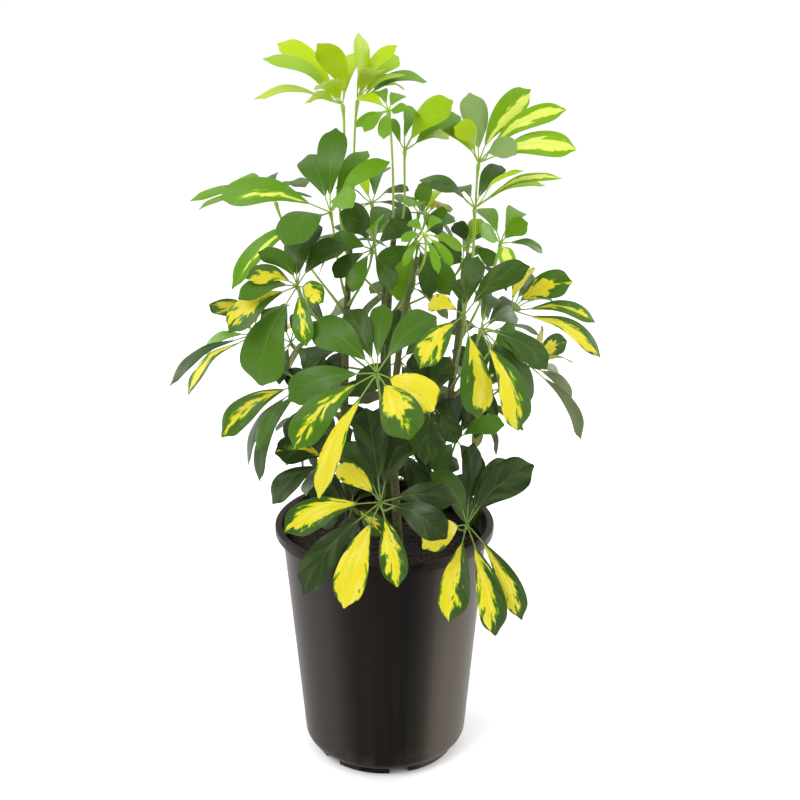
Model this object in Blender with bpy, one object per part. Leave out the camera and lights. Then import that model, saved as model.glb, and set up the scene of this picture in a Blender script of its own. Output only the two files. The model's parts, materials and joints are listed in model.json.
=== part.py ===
"""A variegated dwarf umbrella plant (Schefflera arboricola) in a 200 mm nursery pot.

Five woody stems stand in the soil. Each leaf is one piece: a long petiole that ends in a hub,
with a whorl of leaflets round it. Metres, +Z up, origin on the ground under the pot's centre.
"""

import math
from typing import NamedTuple

import bmesh
import bpy
from mathutils import Matrix, Vector
from mathutils.bvhtree import BVHTree

MM = 0.001
UP = Vector((0, 0, 1))
GAP = 0.3 * MM               # clearance kept between neighbouring pieces

# Pot: a thin-walled nursery pot with a rolled lip, standing on a notched foot
RIM_RADIUS = 100 * MM
POT_HEIGHT = 227 * MM
LIP_HEIGHT = 7.3 * MM
LIP_WALL = 1.5 * MM
TOP_RADIUS = 93.6 * MM       # body, just under the lip
BASE_RADIUS = 75 * MM        # body, at its lowest edge
FOOT_RADIUS = 66 * MM
FOOT_HEIGHT = 6 * MM
FOOT_WALL = 2.2 * MM
HEEL = 13 * MM               # radius of the body's lower corner, outside
WALL = 1.8 * MM
FLOOR = 2.2 * MM
CORNER = 11 * MM             # and inside
CORNER_STEPS = 3
ROUNDING = 1.4 * MM          # of the lip's outer edge
NOTCHES = 6                  # gaps in the foot that let water run off
FIRST_NOTCH = math.radians(-78)
NOTCH_DEPTH = 12 * MM        # measured along the pot's radius
NOTCH_WIDTH = 19 * MM
NOTCH_HEIGHT = 4.6 * MM
DRAINS = 6
DRAIN_RADIUS = 4.5 * MM
DRAIN_CIRCLE = 46 * MM
DRAIN_SIDES = 10
POT_SIDES = 48

# Soil and stems
SOIL_TOP = 207 * MM
SOIL_BUMP = 1.4 * MM
SOIL_RINGS = (84 * MM, 72 * MM, 54 * MM, 36 * MM, 18 * MM)    # radii at which its top is uneven
STEM_DEPTH = 28 * MM         # how far a stem goes down into the soil
STEM_SIDES = 8

# Leaves
HUB_RADIUS = 3.0 * MM
HUB_HEIGHT = 1.1 * MM
PETIOLE_RADIUS = 1.35 * MM
RIB = 0.75 * MM              # half the thickness of a blade at its midrib
STALK = 1.15 * MM            # half the width of a leaflet's own stalk
ARCH = 0.15                  # rise of a leaflet over its chord, as a share of its length
FOLD = 0.16                  # lift of a blade's edges, as a share of its half width
BLADE_START = 0.22           # share of a leaflet's length that is its bare stalk
SPREAD = 0.5                 # how far a stalk's end is drawn to the bearing at which it leaves the hub
STATIONS = ((BLADE_START, 0.0), (0.58, 1.0), (0.85, 0.72))   # (share of length, share of width)
PETIOLE_SHARES = (0.04, 0.3, 0.62, 0.94)                     # where its rings stand, from the hub
PETIOLE_SWELL = 0.25         # how much thicker a petiole is at the stem than at the hub
DIP_LIMIT = math.radians(28)                                 # of a leaflet, below the hub's plane
HUB_CROWD = 0.66             # least angle between two leaflets, as a share of an even spacing

# What the parts of a leaf's skin are called, beside its leaflets' numbers
PETIOLE = -1
HUB = -2

# Easing crossed leaves apart
EASE_ROUNDS = 120
EASE_OWN_ROUNDS = 14         # the first rounds also part the leaflets of each leaf
EASE_STEP = 2.2 * MM
EASE_SWELL = 0.45 * MM       # how far from each other two pieces are kept, halved
BOW_LIMIT = 16 * MM          # the most that a petiole is bent aside
EASE_SHRINK = 0.985          # what is left of a crossing leaflet's width after each round


class Leaf(NamedTuple):
    """One compound leaf. Lengths in millimetres.

    The petiole leaves its stem at height `joint` and ends at `hub`. `face` is the way the upper
    side looks. Each leaflet is (dx, dy, dz, width, roll): its tip seen from the hub, then, where
    it isn't the usual one, the blade's width and its roll in degrees.
    """

    name: str
    stem: str
    joint: float
    hub: tuple
    face: tuple
    leaflets: tuple


# Each stem's centre line from the soil up, and its radii at the foot and at the tip
STEMS = {
    "stem_left": (((-30, -8, 207), (-35, -12, 300), (-33, -14, 400), (-28, -8, 496)), 4.6, 2.6),
    "stem_middle": (((4, 8, 207), (3, 2, 320), (4, -6, 430), (10, -8, 506)), 4.4, 2.4),
    "stem_right": (((42, -8, 207), (52, -10, 310), (63, -14, 390), (66, -12, 440)), 4.6, 2.6),
    "stem_front": (
        ((14, -44, 207), (10, -54, 280), (8, -60, 350), (16, -64, 430), (28, -70, 492)), 4.2, 2.2,
    ),
    "stem_back": (((-6, 48, 207), (-2, 60, 320), (0, 66, 444)), 4.4, 2.6),
}

# The leaves, from the top of the plant to its foot, then those on its far side
LEAVES = (
    Leaf("leaf_top_left", "stem_left", 492, (-33, -6, 604), (-2, -3, 6), (
        (-65, -4, 41, 24), (-57, 40, 47, 20), (-20, -14, 50, 26), (-72, -22, 9, 22),
        (-34, 34, -1, 15), (9, 34, 40, 20), (-14, -57, 22, 22),
    )),
    Leaf("leaf_top_right", "stem_left", 484, (-22, 20, 604), (2, -3, 6), (
        (33, 10, 46, 13), (36, 47, 32), (41, 15, 22), (62, 45, 13, 15), (38, 67, 4), (20, -46, 30, 20),
        (2, -2, 57, 24),
    )),
    Leaf("leaf_crown_small", "stem_middle", 492, (3, -30, 597), (0, -4, 5), (
        (-26, -15, -10, 10), (-18, -30, -13, 11), (-5, -32, -15, 11), (12, -18, 4, 12),
        (-25, 20, 10, 13), (-10, 40, 12, 13), (11, 25, 11, 13), (21, 18, -12, 10),
    )),
    Leaf("leaf_crown_middle", "stem_middle", 500, (18, -10, 567), (1, -6, 4), (
        (38, -4, 44, 24), (49, 35, 24), (43, 55, 9), (23, 68, -1, 14), (-14, 35, 20, 12),
        (4, 60, 22, 14),
    )),
    Leaf("leaf_crown_right", "stem_right", 436, (80, 0, 555), (1, -9, 4), (
        (-6, 10, 59, 24), (43, 8, 61, 22), (73, -10, 46, 18), (80, -20, 17, 23), (25, -62, 20, 20),
        (-21, -50, 37, 18), (-33, 35, 27, 20),
    )),
    Leaf("leaf_right_high", "stem_right", 426, (76, -30, 522), (0, -4, 7), (
        (-39, -32, 26, 18), (-46, 40, 17, 16), (25, 35, 32, 17), (72, 0, 28, 13), (62, 32, 15, 11),
        (38, -20, 37, 12), (-10, 72, -8, 14),
    )),
    Leaf("leaf_bud_middle", "stem_front", 478, (33, -72, 510), (0, -7, 5), (
        (-19, -16, -1, 8), (-17, -16, -22, 8), (3, -20, -35, 9), (21, -16, -23, 9), (31, -4, -12, 10),
        (13, 22, 10, 10), (-13, 20, 7, 10),
    )),
    Leaf("leaf_middle_high", "stem_left", 436, (-9, -45, 491), (0, -6, 5), (
        (-25, -30, 38, 26), (4, -53, 35, 20), (14, 35, 37, 22), (32, 25, 18, 22), (-35, 0, 6, 20),
        (-31, -10, -21, 16), (17, -37, -24, 16), (-16, -35, -26, 14),
    )),
    Leaf("leaf_middle_back_high", "stem_middle", 470, (36, 10, 507), (-1, -5, 6), (
        (-5, -10, 33, 20), (-19, -50, 14, 20), (24, 35, 10, 12), (11, 35, 16, 16), (24, -20, -3, 18),
        (0, 70, 14, 18),
    )),
    Leaf("leaf_middle_dark", "stem_middle", 425, (29, -12, 489), (0, -8, 4), (
        (-30, -14, -22, 22), (-17, -26, -44, 24), (2, -32, -47, 20), (25, -28, -37, 22),
        (37, -4, -16, 18), (-19, 42, 12, 20), (25, 52, 10, 18),
    )),
    Leaf("leaf_far_left", "stem_left", 428, (-94, 35, 514), (-3, -3, 8), (
        (-75, -10, 6, 16), (-64, -35, 2, 14), (-40, 50, 10, 18), (-13, 75, 7, 18), (21, 65, 4, 18),
        (30, 25, 1, 16),
    )),
    Leaf("leaf_upper_left", "stem_left", 445, (-43, -35, 520), (-2, -7, 6), (
        (-21, 55, 39, 28), (4, 25, 67, 27), (30, 47, 46, 17), (50, 10, 42, 20), (20, -77, 22, 19),
        (-92, -10, 15, 26), (-33, -73, -8, 32), (-83, -35, -55, 19),
    )),
    Leaf("leaf_left_face", "stem_left", 395, (-68, -85, 471), (-3, -8, 4), (
        (-30, -27, 32, 20), (-38, -33, 17, 17), (-44, -37, 0, 16), (-54, -35, -28, 22),
        (2, 25, 36, 24), (15, 40, 44, 20), (35, 30, 32, 22), (21, -33, -4, 20), (8, -40, -38, 17),
        (-32, -25, -77, 42),
    )),
    Leaf("leaf_far_left_low", "stem_left", 330, (-117, -5, 409), (-5, -4, 6), (
        (-34, -33, 35, 26), (-76, -13, -42, 14), (-59, -40, -40, 15), (-52, 30, -27, 14),
        (17, -53, 17, 16), (31, 50, -7, 20), (5, 65, 13, 20),
    )),
    Leaf("leaf_left_low", "stem_left", 300, (-67, -35, 369), (-5, -6, 5), (
        (-75, -15, -42, 26), (-40, -43, -43, 22), (-44, -17, -84, 17), (-56, 20, -83, 14),
        (-35, 60, -15, 22), (23, -57, -26, 20), (32, 45, 18, 24), (10, 15, 32, 24),
    )),
    Leaf("leaf_left_lowest", "stem_left", 262, (-47, -45, 302), (-5, -6, 4), (
        (-51, -27, -28, 26), (-47, -17, 14, 24), (-20, -53, -9, 22), (-17, 11, 27, 24),
        (20, -19, 36, 22), (32, -29, 5, 20),
    )),
    Leaf("leaf_front_middle", "stem_front", 330, (-4, -130, 412), (-1, -9, 6), (
        (-54, 18, 35, 30), (-25, 35, 44, 24), (5, 42, 46, 20), (50, 35, 39, 27), (43, -28, -22, 34),
        (27, -42, -40, 34), (-45, -42, -91, 17, 40), (-67, -28, -54, 28), (-72, -5, -22, 27),
    )),
    Leaf("leaf_front_low", "stem_front", 262, (-2, -118, 296), (0, -9, 5), (
        (-80, -10, -23, 28), (-65, -32, -70, 26), (-30, -47, -74, 26), (14, -50, -53, 24),
        (54, -34, -17, 27), (62, -10, 5, 24), (19, 38, 47, 26), (-13, 36, 72, 28), (-34, 30, 43, 22),
        (-37, 14, 28, 20),
    )),
    Leaf("leaf_front_right", "stem_right", 236, (70, -88, 263), (1, -9, 4), (
        (56, -4, 56, 30), (39, 16, 53, 24), (7, 26, 66, 19), (-31, -10, 52, 22), (-37, -40, -4, 24),
        (-15, -54, -65, 26), (25, -47, -83, 25), (47, -30, -76, 19),
    )),
    Leaf("leaf_right_inner", "stem_right", 372, (66, -90, 448), (0, -8, 5), (
        (-38, -42, -31, 26), (11, -38, -76, 26), (11, 12, 47, 20), (56, -2, 40, 22), (-27, 28, -1, 18),
        (-3, 42, 15, 18),
    )),
    Leaf("leaf_right_front", "stem_right", 360, (78, -112, 444), (2, -8, 5), (
        (32, -30, -77, 28), (54, -8, -32, 20), (36, 14, -37, 20), (29, 40, -7, 16), (17, 50, -71, 20),
        (18, 52, 23, 18),
    )),
    Leaf("leaf_far_right", "stem_right", 352, (110, -20, 432), (4, -7, 5), (
        (11, -30, 43, 21), (50, -10, 28, 24), (75, 8, -12, 15), (78, -12, -38, 20), (14, 68, -6, 20),
        (50, 82, -13, 20), (-7, -20, -30, 18),
    )),
    Leaf("leaf_right_upper", "stem_right", 406, (100, 2, 485), (2, -7, 6), (
        (-18, -40, 16, 20), (24, 3, 18, 18), (4, -44, -10, 17), (40, 20, -13, 10), (16, 70, 3, 18),
        (-16, 53, 8, 18),
    )),
    Leaf("leaf_right_shoot", "stem_right", 392, (74, 42, 473), (0, -6, 6), (
        (12, 16, 23, 17), (-11, 10, 20, 17), (25, -10, -15, 15), (-20, -28, 1, 14), (25, 34, 2, 14),
        (2, -32, -26, 16),
    )),
    Leaf("leaf_right_low", "stem_right", 312, (132, 5, 368), (5, -6, 5), (
        (35, -40, 18, 28), (36, 15, 19, 20), (5, -50, 42, 22), (50, -13, -66, 17), (43, 17, -44, 18),
        (20, 55, -46, 18), (-32, -35, 0, 18),
    )),
    Leaf("leaf_right_lower", "stem_right", 285, (62, -32, 318), (2, -6, 6), (
        (42, -13, 19, 18), (23, 32, 14, 18), (19, -46, -16, 18), (-18, -43, -15, 18),
        (-34, -28, 11, 20), (-13, 12, 35, 22), (12, 57, 19, 20),
    )),
    Leaf("leaf_centre_low", "stem_middle", 330, (39, -60, 363), (1, -8, 4), (
        (18, 10, 39, 20), (20, -28, -25, 20), (-2, -40, -41, 20), (-17, -20, -40, 20), (-30, 0, 2, 20),
        (-15, 20, 38, 20),
    )),
    Leaf("leaf_centre", "stem_middle", 345, (14, -38, 392), (0, -7, 5), (
        (-29, 8, 37, 22), (-2, 26, 40, 20), (32, 8, 19, 20), (-4, -48, -39, 22), (-34, -22, -19, 22),
        (21, -12, -37, 20),
    )),
    Leaf("leaf_inner_left", "stem_back", 306, (-43, 8, 336), (-3, -5, 6), (
        (-40, -2, 30, 22), (-20, 16, 45, 22), (10, 18, 44, 22), (36, 6, 12, 20), (29, -4, -28, 22),
        (-4, -16, -45, 24), (-40, -24, -22, 22),
    )),
    Leaf("leaf_inner_left_low", "stem_front", 238, (-28, -44, 259), (-3, -6, 5), (
        (-40, -8, 20, 24), (-31, -20, -9, 24), (-3, -32, -22, 22), (28, -26, -16, 18),
        (28, 20, 15, 18), (7, 18, 35, 22), (-26, 28, 24, 22),
    )),
    Leaf("leaf_inner_right_low", "stem_middle", 226, (40, 28, 247), (1, -6, 6), (
        (-30, 20, 16, 24), (-3, 38, 31, 24), (29, 34, 16, 22), (53, 8, -6, 20), (47, -12, -33, 22),
        (-1, -58, -21, 22), (-22, -36, -18, 18),
    )),
    Leaf("leaf_inner_middle", "stem_back", 256, (12, 30, 284), (0, -6, 6), (
        (-40, 0, 12, 24), (-32, 22, 27, 22), (13, 54, 26, 24), (36, 32, 14, 22), (44, -8, -7, 22),
        (25, -44, -29, 22), (-17, -14, -38, 20),
    )),
    Leaf("leaf_inner_right", "stem_back", 300, (85, 28, 345), (2, -5, 6), (
        (-29, 0, 36, 22), (-7, 30, 42, 22), (27, 38, 29, 22), (41, 8, -1, 20), (24, -34, -24, 20),
        (-4, -50, -29, 20), (-28, -30, -20, 20),
    )),
    Leaf("leaf_left_behind", "stem_back", 345, (-84, 42, 383), (-4, -4, 6), (
        (-33, 20, 1, 20), (-20, 50, 20, 20), (10, 56, 14, 22), (31, 30, -7, 20), (28, -20, -26, 22),
        (4, -38, -35, 22), (-22, -26, -24, 20),
    )),
    Leaf("leaf_back_left_high", "stem_back", 420, (-37, 90, 462), (-4, 5, 7), (
        (-37, 5, -14), (-34, 60, -14), (2, 85, 0), (36, 70, -3), (37, -15, -11), (-13, -30, -26),
    )),
    Leaf("leaf_back_high", "stem_back", 440, (31, 95, 490), (1, 4, 8), (
        (-31, 25, -15), (-17, 65, 0), (12, 70, 4), (31, 45, -7), (34, -5, -22), (6, -45, -33),
        (-21, -40, -28),
    )),
    Leaf("leaf_back_right_high", "stem_back", 400, (72, 100, 444), (5, 5, 6), (
        (34, 50, -3), (45, 20, -32), (27, -10, -53), (-7, -40, -42), (-19, 65, 5), (10, 70, 16),
        (-35, -10, -10),
    )),
    Leaf("leaf_back_left", "stem_back", 340, (-52, 100, 378), (-7, 3, 5), (
        (-66, 10, -13), (-43, -10, -39), (-32, 65, 6), (12, 75, -2), (37, 20, -21), (15, -30, -45),
        (-19, -20, -58),
    )),
    Leaf("leaf_back_middle", "stem_back", 370, (19, 111, 416), (0, 6, 6), (
        (-34, 35, -15), (-20, 65, 6), (20, 70, 5), (44, 40, -16), (33, -15, -35), (0, -35, -39),
        (-35, -15, -35),
    )),
    Leaf("leaf_back_right", "stem_back", 335, (92, 101, 375), (6, 4, 5), (
        (57, 15, -5), (58, -30, -15), (40, 60, 13), (2, 80, 12), (-29, 50, -15), (-12, -20, -42),
        (25, -40, -37),
    )),
    Leaf("leaf_back_low", "stem_back", 290, (14, 101, 305), (0, 7, 5), (
        (-40, 30, -11), (-25, 75, 0), (20, 80, 4), (50, 40, -9), (44, -10, -38), (5, -30, -45),
        (-31, -15, -36),
    )),
    Leaf("leaf_back_left_low", "stem_back", 270, (-60, 75, 297), (-6, 4, 5), (
        (-47, 20, -18), (-36, -5, -44), (-25, 65, 2), (14, 80, 2), (37, 25, -14), (17, -15, -45),
        (-16, -25, -49),
    )),
    Leaf("leaf_back_right_low", "stem_back", 275, (81, 90, 307), (5, 5, 5), (
        (50, 30, 3), (52, -10, -22), (33, 75, 5), (-12, 80, 9), (-36, 30, -11), (-19, -20, -38),
        (20, -30, -42),
    )),
    Leaf("leaf_back_foot", "stem_back", 232, (24, 105, 242), (1, 7, 4), (
        (-42, 35, -7), (-18, 70, -4), (19, 67, -3), (42, 30, -12), (29, -10, -28), (-5, -25, -30),
        (-34, -15, -21),
    )),
    Leaf("leaf_back_crown", "stem_back", 438, (-11, 75, 504), (-2, 6, 7), (
        (-34, 25, 10), (-20, 55, 19), (11, 60, 20), (33, 30, 8), (23, -15, -21), (-6, -25, -31),
        (-28, -15, -15),
    )),
)


class Growth:
    """A leaf as it stands: its hub, its leaflets' tips and the bow of its petiole, in metres."""

    def __init__(self, leaf):
        """Turns the leaf's own figures into places in the plant."""
        self.leaf = leaf
        self.hub = Vector(leaf.hub) * MM
        self.face = Vector(leaf.face).normalized()
        self.reach = [self.lifted(Vector(row[:3]) * MM) for row in leaf.leaflets]
        self.width = [self.blade_width(row) for row in leaf.leaflets]
        self.roll = [math.radians(row[4]) if len(row) > 4 else 0.0 for row in leaf.leaflets]
        self.foot = stem_point(leaf.stem, leaf.joint * MM)
        self.bow = Vector((0, 0, 0))

    def lifted(self, reach):
        """A leaflet's reach, brought up where it hangs too far below the plane of the hub."""
        dip = self.face.angle(reach) - math.pi / 2
        if dip <= DIP_LIMIT:
            return reach
        return Matrix.Rotation(DIP_LIMIT - dip, 3, self.face.cross(reach)) @ reach

    @staticmethod
    def blade_width(row):
        """The width that the row states, or the usual share of the leaflet's length."""
        return (row[3] if len(row) > 3 else 0.3 * Vector(row[:3]).length) * MM

    def round_the_hub(self):
        """The leaflets' numbers in the order in which they stand round the hub."""
        side, ahead = across(self.face)
        return sorted(
            range(len(self.reach)),
            key=lambda i: math.atan2(self.reach[i].dot(ahead), self.reach[i].dot(side)),
        )


def across(axis):
    """Two unit vectors square to an axis and to each other."""
    side = axis.cross(Vector((0, 0, 1)) if abs(axis.z) < 0.9 else Vector((0, 1, 0))).normalized()
    return side, axis.cross(side)


def stem_line(name):
    """The centre line of a stem as smooth points in metres, from inside the soil to its tip."""
    points = [Vector(point) * MM for point in STEMS[name][0]]
    below = points[0] - UP * STEM_DEPTH
    line = [below]
    for i in range(len(points) - 1):
        before = points[i - 1] if i else below
        after = points[min(i + 2, len(points) - 1)]
        for step in range(3):
            line.append(catmull(before, points[i], points[i + 1], after, step / 3))
    return line + [points[-1]]


def catmull(a, b, c, d, t):
    """A point between b and c on the smooth curve through a, b, c and d."""
    return 0.5 * (
        2 * b + (c - a) * t + (2 * a - 5 * b + 4 * c - d) * t * t + (3 * b - a - 3 * c + d) * t ** 3
    )


def stem_point(name, height):
    """The point of a stem's centre line at a height."""
    line = stem_line(name)
    for low, high in zip(line, line[1:]):
        if high.z >= height:
            return low.lerp(high, (height - low.z) / (high.z - low.z))
    return line[-1]


def stem_radius(name, height):
    """A stem's radius at a height."""
    points, thick, thin = STEMS[name]
    share = (height / MM - points[0][2]) / (points[-1][2] - points[0][2])
    return (thick + (thin - thick) * min(max(share, 0), 1)) * MM


class Shell:
    """Points and triangles of a closed skin. Each triangle notes the part that it belongs to."""

    def __init__(self):
        """Starts with nothing."""
        self.points = []
        self.triangles = []
        self.parts = []

    def point(self, place):
        """Adds a point and returns its number."""
        self.points.append(place)
        return len(self.points) - 1

    def triangle(self, a, b, c, part):
        """Adds a triangle."""
        self.triangles.append((a, b, c))
        self.parts.append(part)

    def skin(self, low, high, part):
        """Joins two rings that have the same number of points."""
        for i in range(len(low)):
            j = (i + 1) % len(low)
            self.triangle(low[i], low[j], high[j], part)
            self.triangle(low[i], high[j], high[i], part)

    def close(self, ring, tip, part):
        """Closes a ring onto one point."""
        end = self.point(tip)
        for i in range(len(ring)):
            self.triangle(ring[i], ring[(i + 1) % len(ring)], end, part)

    def tree(self):
        """The skin as a search tree, for finding what it runs into."""
        return BVHTree.FromPolygons(self.points, self.triangles)


def leaflet_place(reach, face, share):
    """A point of a leaflet's midrib, seen from the hub, and the way that the midrib runs there."""
    chord = reach.normalized()
    lift = UP + face * 0.6
    lift = (lift - chord * lift.dot(chord)).normalized() * reach.length * ARCH
    place = reach * share + lift * 4 * share * (1 - share)
    heading = reach + lift * 4 * (1 - 2 * share)
    return place, heading.normalized()


def rolled(heading, top, roll):
    """The way across a blade and the way that its upper side looks, once it is rolled."""
    side = heading.cross(top).normalized()
    top = side.cross(heading)
    return side * math.cos(roll) + top * math.sin(roll), top * math.cos(roll) - side * math.sin(roll)


def hub_bearings(growth, order):
    """Angles round the hub at which the leaflets leave it, kept from crowding each other."""
    side, ahead = across(growth.face)
    angles = [math.atan2(growth.reach[i].dot(ahead), growth.reach[i].dot(side)) for i in order]
    count = len(angles)
    least = HUB_CROWD * math.tau / count
    for _ in range(60):
        for i in range(count):
            j = (i + 1) % count
            space = (angles[j] - angles[i]) % math.tau
            if space < least or space > math.tau - 0.2 * least:
                short = (least - space) if space < least else (least + math.tau - space)
                angles[i] -= 0.25 * short
                angles[j] += 0.25 * short
    return angles


def leaf_shell(growth, swell=0.0):
    """The skin of one leaf: hub, leaflets and petiole. Swell thickens it all round."""
    shell = Shell()
    side, ahead = across(growth.face)
    order = growth.round_the_hub()
    angles = hub_bearings(growth, order)
    count = len(angles)
    spokes = [side * math.cos(a) + ahead * math.sin(a) for a in angles]
    rise = growth.face * (HUB_HEIGHT + swell)
    radius = HUB_RADIUS + swell
    tops = [shell.point(growth.hub + s * radius * 0.85 + rise) for s in spokes]
    lows = [shell.point(growth.hub + s * radius * 0.85 - rise) for s in spokes]
    betweens = []
    for i in range(count):
        space = (angles[(i + 1) % count] - angles[i]) % math.tau
        middle = angles[i] + space / 2
        spoke = side * math.cos(middle) + ahead * math.sin(middle)
        betweens.append(shell.point(growth.hub + spoke * radius))
    crown = shell.point(growth.hub + rise * 1.6)
    for i in range(count):
        before = betweens[i - 1]
        shell.triangle(crown, before, tops[i], HUB)
        shell.triangle(crown, tops[i], betweens[i], HUB)
        ring = before, tops[i], betweens[i], lows[i]
        add_leaflet(shell, growth, order[i], spokes[i], ring, swell)
    add_petiole(shell, growth, spokes, lows, betweens, swell)
    return shell


def add_leaflet(shell, growth, number, spoke, ring, swell):
    """Grows one leaflet from its ring of four points on the hub: left, top, right, bottom.

    Its upper side starts as the hub's own and turns with the midrib, so the skin never twists.
    """
    reach = growth.reach[number]
    half = growth.width[number] / 2
    ahead, upper = spoke, growth.face
    for share, fullness in STATIONS:
        centre, heading = leaflet_place(reach, growth.face, share)
        if not fullness:
            centre = centre.lerp(spoke * centre.length, SPREAD)
        upper = ahead.rotation_difference(heading) @ upper
        ahead = heading
        side, top = rolled(heading, upper, growth.roll[number] * share)
        wide = STALK + (half - STALK) * fullness + swell
        thick = RIB * (1.2 - 0.5 * share) + swell
        lift = top * FOLD * wide * fullness
        middle = growth.hub + centre
        corners = (side * wide + lift, top * thick, -side * wide + lift, -top * thick)
        after = [shell.point(middle + corner) for corner in corners]
        shell.skin(ring, after, number)
        ring = after
    tip = growth.hub + reach + reach.normalized() * swell
    shell.close(ring, tip, number)


def petiole_place(growth, share):
    """A point of a petiole's centre line, from the hub (0) to the stem (1)."""
    axis = growth.foot - growth.hub
    out = Vector((growth.hub.x - growth.foot.x, growth.hub.y - growth.foot.y, 0))
    out = out.normalized() if out.length > 5 * MM else growth.face
    end = growth.foot + out * (stem_radius(growth.leaf.stem, growth.foot.z) + GAP * 1.5)
    reach = axis.length
    first = growth.hub - (growth.face * 0.5 + UP * 0.5).normalized() * reach * 0.35 + growth.bow
    second = end + (out * 0.5 + UP * 0.6) * reach * 0.28 + growth.bow
    rest = 1 - share
    return (
        growth.hub * rest ** 3 + first * 3 * rest * rest * share
        + second * 3 * rest * share * share + end * share ** 3
    )


def add_petiole(shell, growth, spokes, lows, betweens, swell):
    """Closes the hub below onto a petiole that tapers to a point beside the stem."""
    count = len(spokes)
    rings = []
    start = petiole_place(growth, PETIOLE_SHARES[0]) - growth.hub
    heading = start.normalized()
    turn = (-growth.face).rotation_difference(heading)
    arms = [turn @ spoke for spoke in spokes]
    for share in PETIOLE_SHARES:
        centre = petiole_place(growth, share)
        after = (petiole_place(growth, share + 0.02) - petiole_place(growth, share - 0.02)).normalized()
        turn = heading.rotation_difference(after)
        arms = [turn @ arm for arm in arms]
        heading = after
        thick = PETIOLE_RADIUS * (1 + PETIOLE_SWELL * share) + swell
        rings.append([shell.point(centre + arm * thick) for arm in arms])
    for i in range(count):
        j = (i + 1) % count
        shell.triangle(rings[0][i], betweens[i - 1], lows[i], HUB)
        shell.triangle(rings[0][i], lows[i], betweens[i], HUB)
        shell.triangle(rings[0][i], betweens[i], rings[0][j], HUB)
    for low, high in zip(rings, rings[1:]):
        shell.skin(low, high, PETIOLE)
    shell.close(rings[-1], petiole_place(growth, 1.0), PETIOLE)


def stem_shell(name, swell=0.0):
    """The skin of one stem: a tapering rod with a pointed tip."""
    shell = Shell()
    line = stem_line(name)
    side, ahead = across(UP)
    rings = []
    for place in line[:-1]:
        thick = stem_radius(name, place.z) + swell
        rings.append([
            shell.point(place + (side * math.cos(a) + ahead * math.sin(a)) * thick)
            for a in (math.tau * k / STEM_SIDES for k in range(STEM_SIDES))
        ])
    for low, high in zip(rings, rings[1:]):
        shell.skin(low, high, PETIOLE)
    shell.close(rings[-1], line[-1] + UP * swell, PETIOLE)
    shell.close(rings[0], line[0] - UP * swell, PETIOLE)
    return shell


def middle_of(growth, part):
    """A point near the middle of a part: a leaflet, the petiole or the hub."""
    if part == HUB:
        return growth.hub
    if part == PETIOLE:
        return petiole_place(growth, 0.45)
    return growth.hub + leaflet_place(growth.reach[part], growth.face, 0.6)[0]


def push(growth, part, way, step):
    """Swings a leaflet about its hub, or bows the petiole and shifts its hub, by one step."""
    if part < 0:
        if (growth.bow + way * step).length < BOW_LIMIT:
            growth.bow = growth.bow + way * step * 0.6
        growth.hub = growth.hub + way * step * 0.2
        return
    reach = growth.reach[part]
    length = reach.length
    growth.reach[part] = (reach + way * step).normalized() * length


def clashes(first, second, same=False):
    """Pairs of parts of two skins that run through each other."""
    found = set()
    for a, b in first[1].overlap(second[1]):
        parts = first[0].parts[a], second[0].parts[b]
        if same:
            shared = set(first[0].triangles[a]) & set(first[0].triangles[b])
            if shared or parts[0] == parts[1] or HUB in parts:
                continue
        found.add(parts)
    return sorted(found)


def beside_petiole(growth, part):
    """The way in which a leaflet comes clear of its own leaf's petiole: sideways from it."""
    along = (growth.foot - growth.hub).normalized()
    reach = growth.reach[part]
    out = reach - along * reach.dot(along)
    return out.normalized() if out.length > 2 * MM else across(along)[0]


def parting(growth, part, other, number):
    """The way in which one part should move to come clear of another."""
    between = middle_of(growth, part) - middle_of(other, number)
    if growth is other and number < 0:
        return beside_petiole(growth, part)
    if part < 0 or number < 0:
        return between.normalized() if between.length > MM else growth.face
    above = (growth.face + other.face).normalized()
    side = 1 if between.dot(above) >= 0 else -1
    return (above * side + between.normalized() * 0.8).normalized()


def collect_moves(growths, skins, fixed, own):
    """What every part that runs into another wants: a list of ways for each (leaf, part).

    With own, the leaflets of one leaf that cross each other are among them.
    """
    moves = {}
    for i, growth in enumerate(growths):
        for other in growths[i:]:
            same = growth is other
            if same and not own:
                continue
            for mine, theirs in clashes(skins[growth], skins[other], same):
                if same and mine < theirs:
                    continue
                way = parting(growth, mine, other, theirs)
                moves.setdefault((growth, mine), []).append(way)
                if not (same and theirs == PETIOLE):
                    moves.setdefault((other, theirs), []).append(-way)
        for skin, way_out in fixed:
            for mine, _ in clashes(skins[growth], skin):
                moves.setdefault((growth, mine), []).append(way_out(middle_of(growth, mine)))
    return moves


def ease_apart(growths, fixed):
    """Swings leaflets and bows petioles by small steps until no two pieces run into each other."""
    skins = {}
    for turn in range(EASE_ROUNDS):
        for growth in growths:
            if growth not in skins:
                shell = leaf_shell(growth, EASE_SWELL)
                skins[growth] = (shell, shell.tree())
        moves = collect_moves(growths, skins, fixed, turn < EASE_OWN_ROUNDS)
        if not moves:
            break
        for (growth, part), ways in moves.items():
            way = sum(ways, Vector((0, 0, 0)))
            way = way.normalized() if way.length > 0.1 else ways[0]
            push(growth, part, way, EASE_STEP)
            if part >= 0:
                growth.width[part] *= EASE_SHRINK
            if turn > EASE_ROUNDS // 3 and part >= 0:
                growth.reach[part] = growth.reach[part] * EASE_SHRINK
            skins.pop(growth, None)
    return turn


def away_from_stem(name):
    """The way that leads straight out from a stem."""

    def way(place):
        """The level unit vector from the stem's centre line to a place."""
        line = stem_point(name, place.z)
        out = Vector((place.x - line.x, place.y - line.y, 0))
        return out.normalized() if out.length > MM else Vector((0, -1, 0))

    return way


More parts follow.
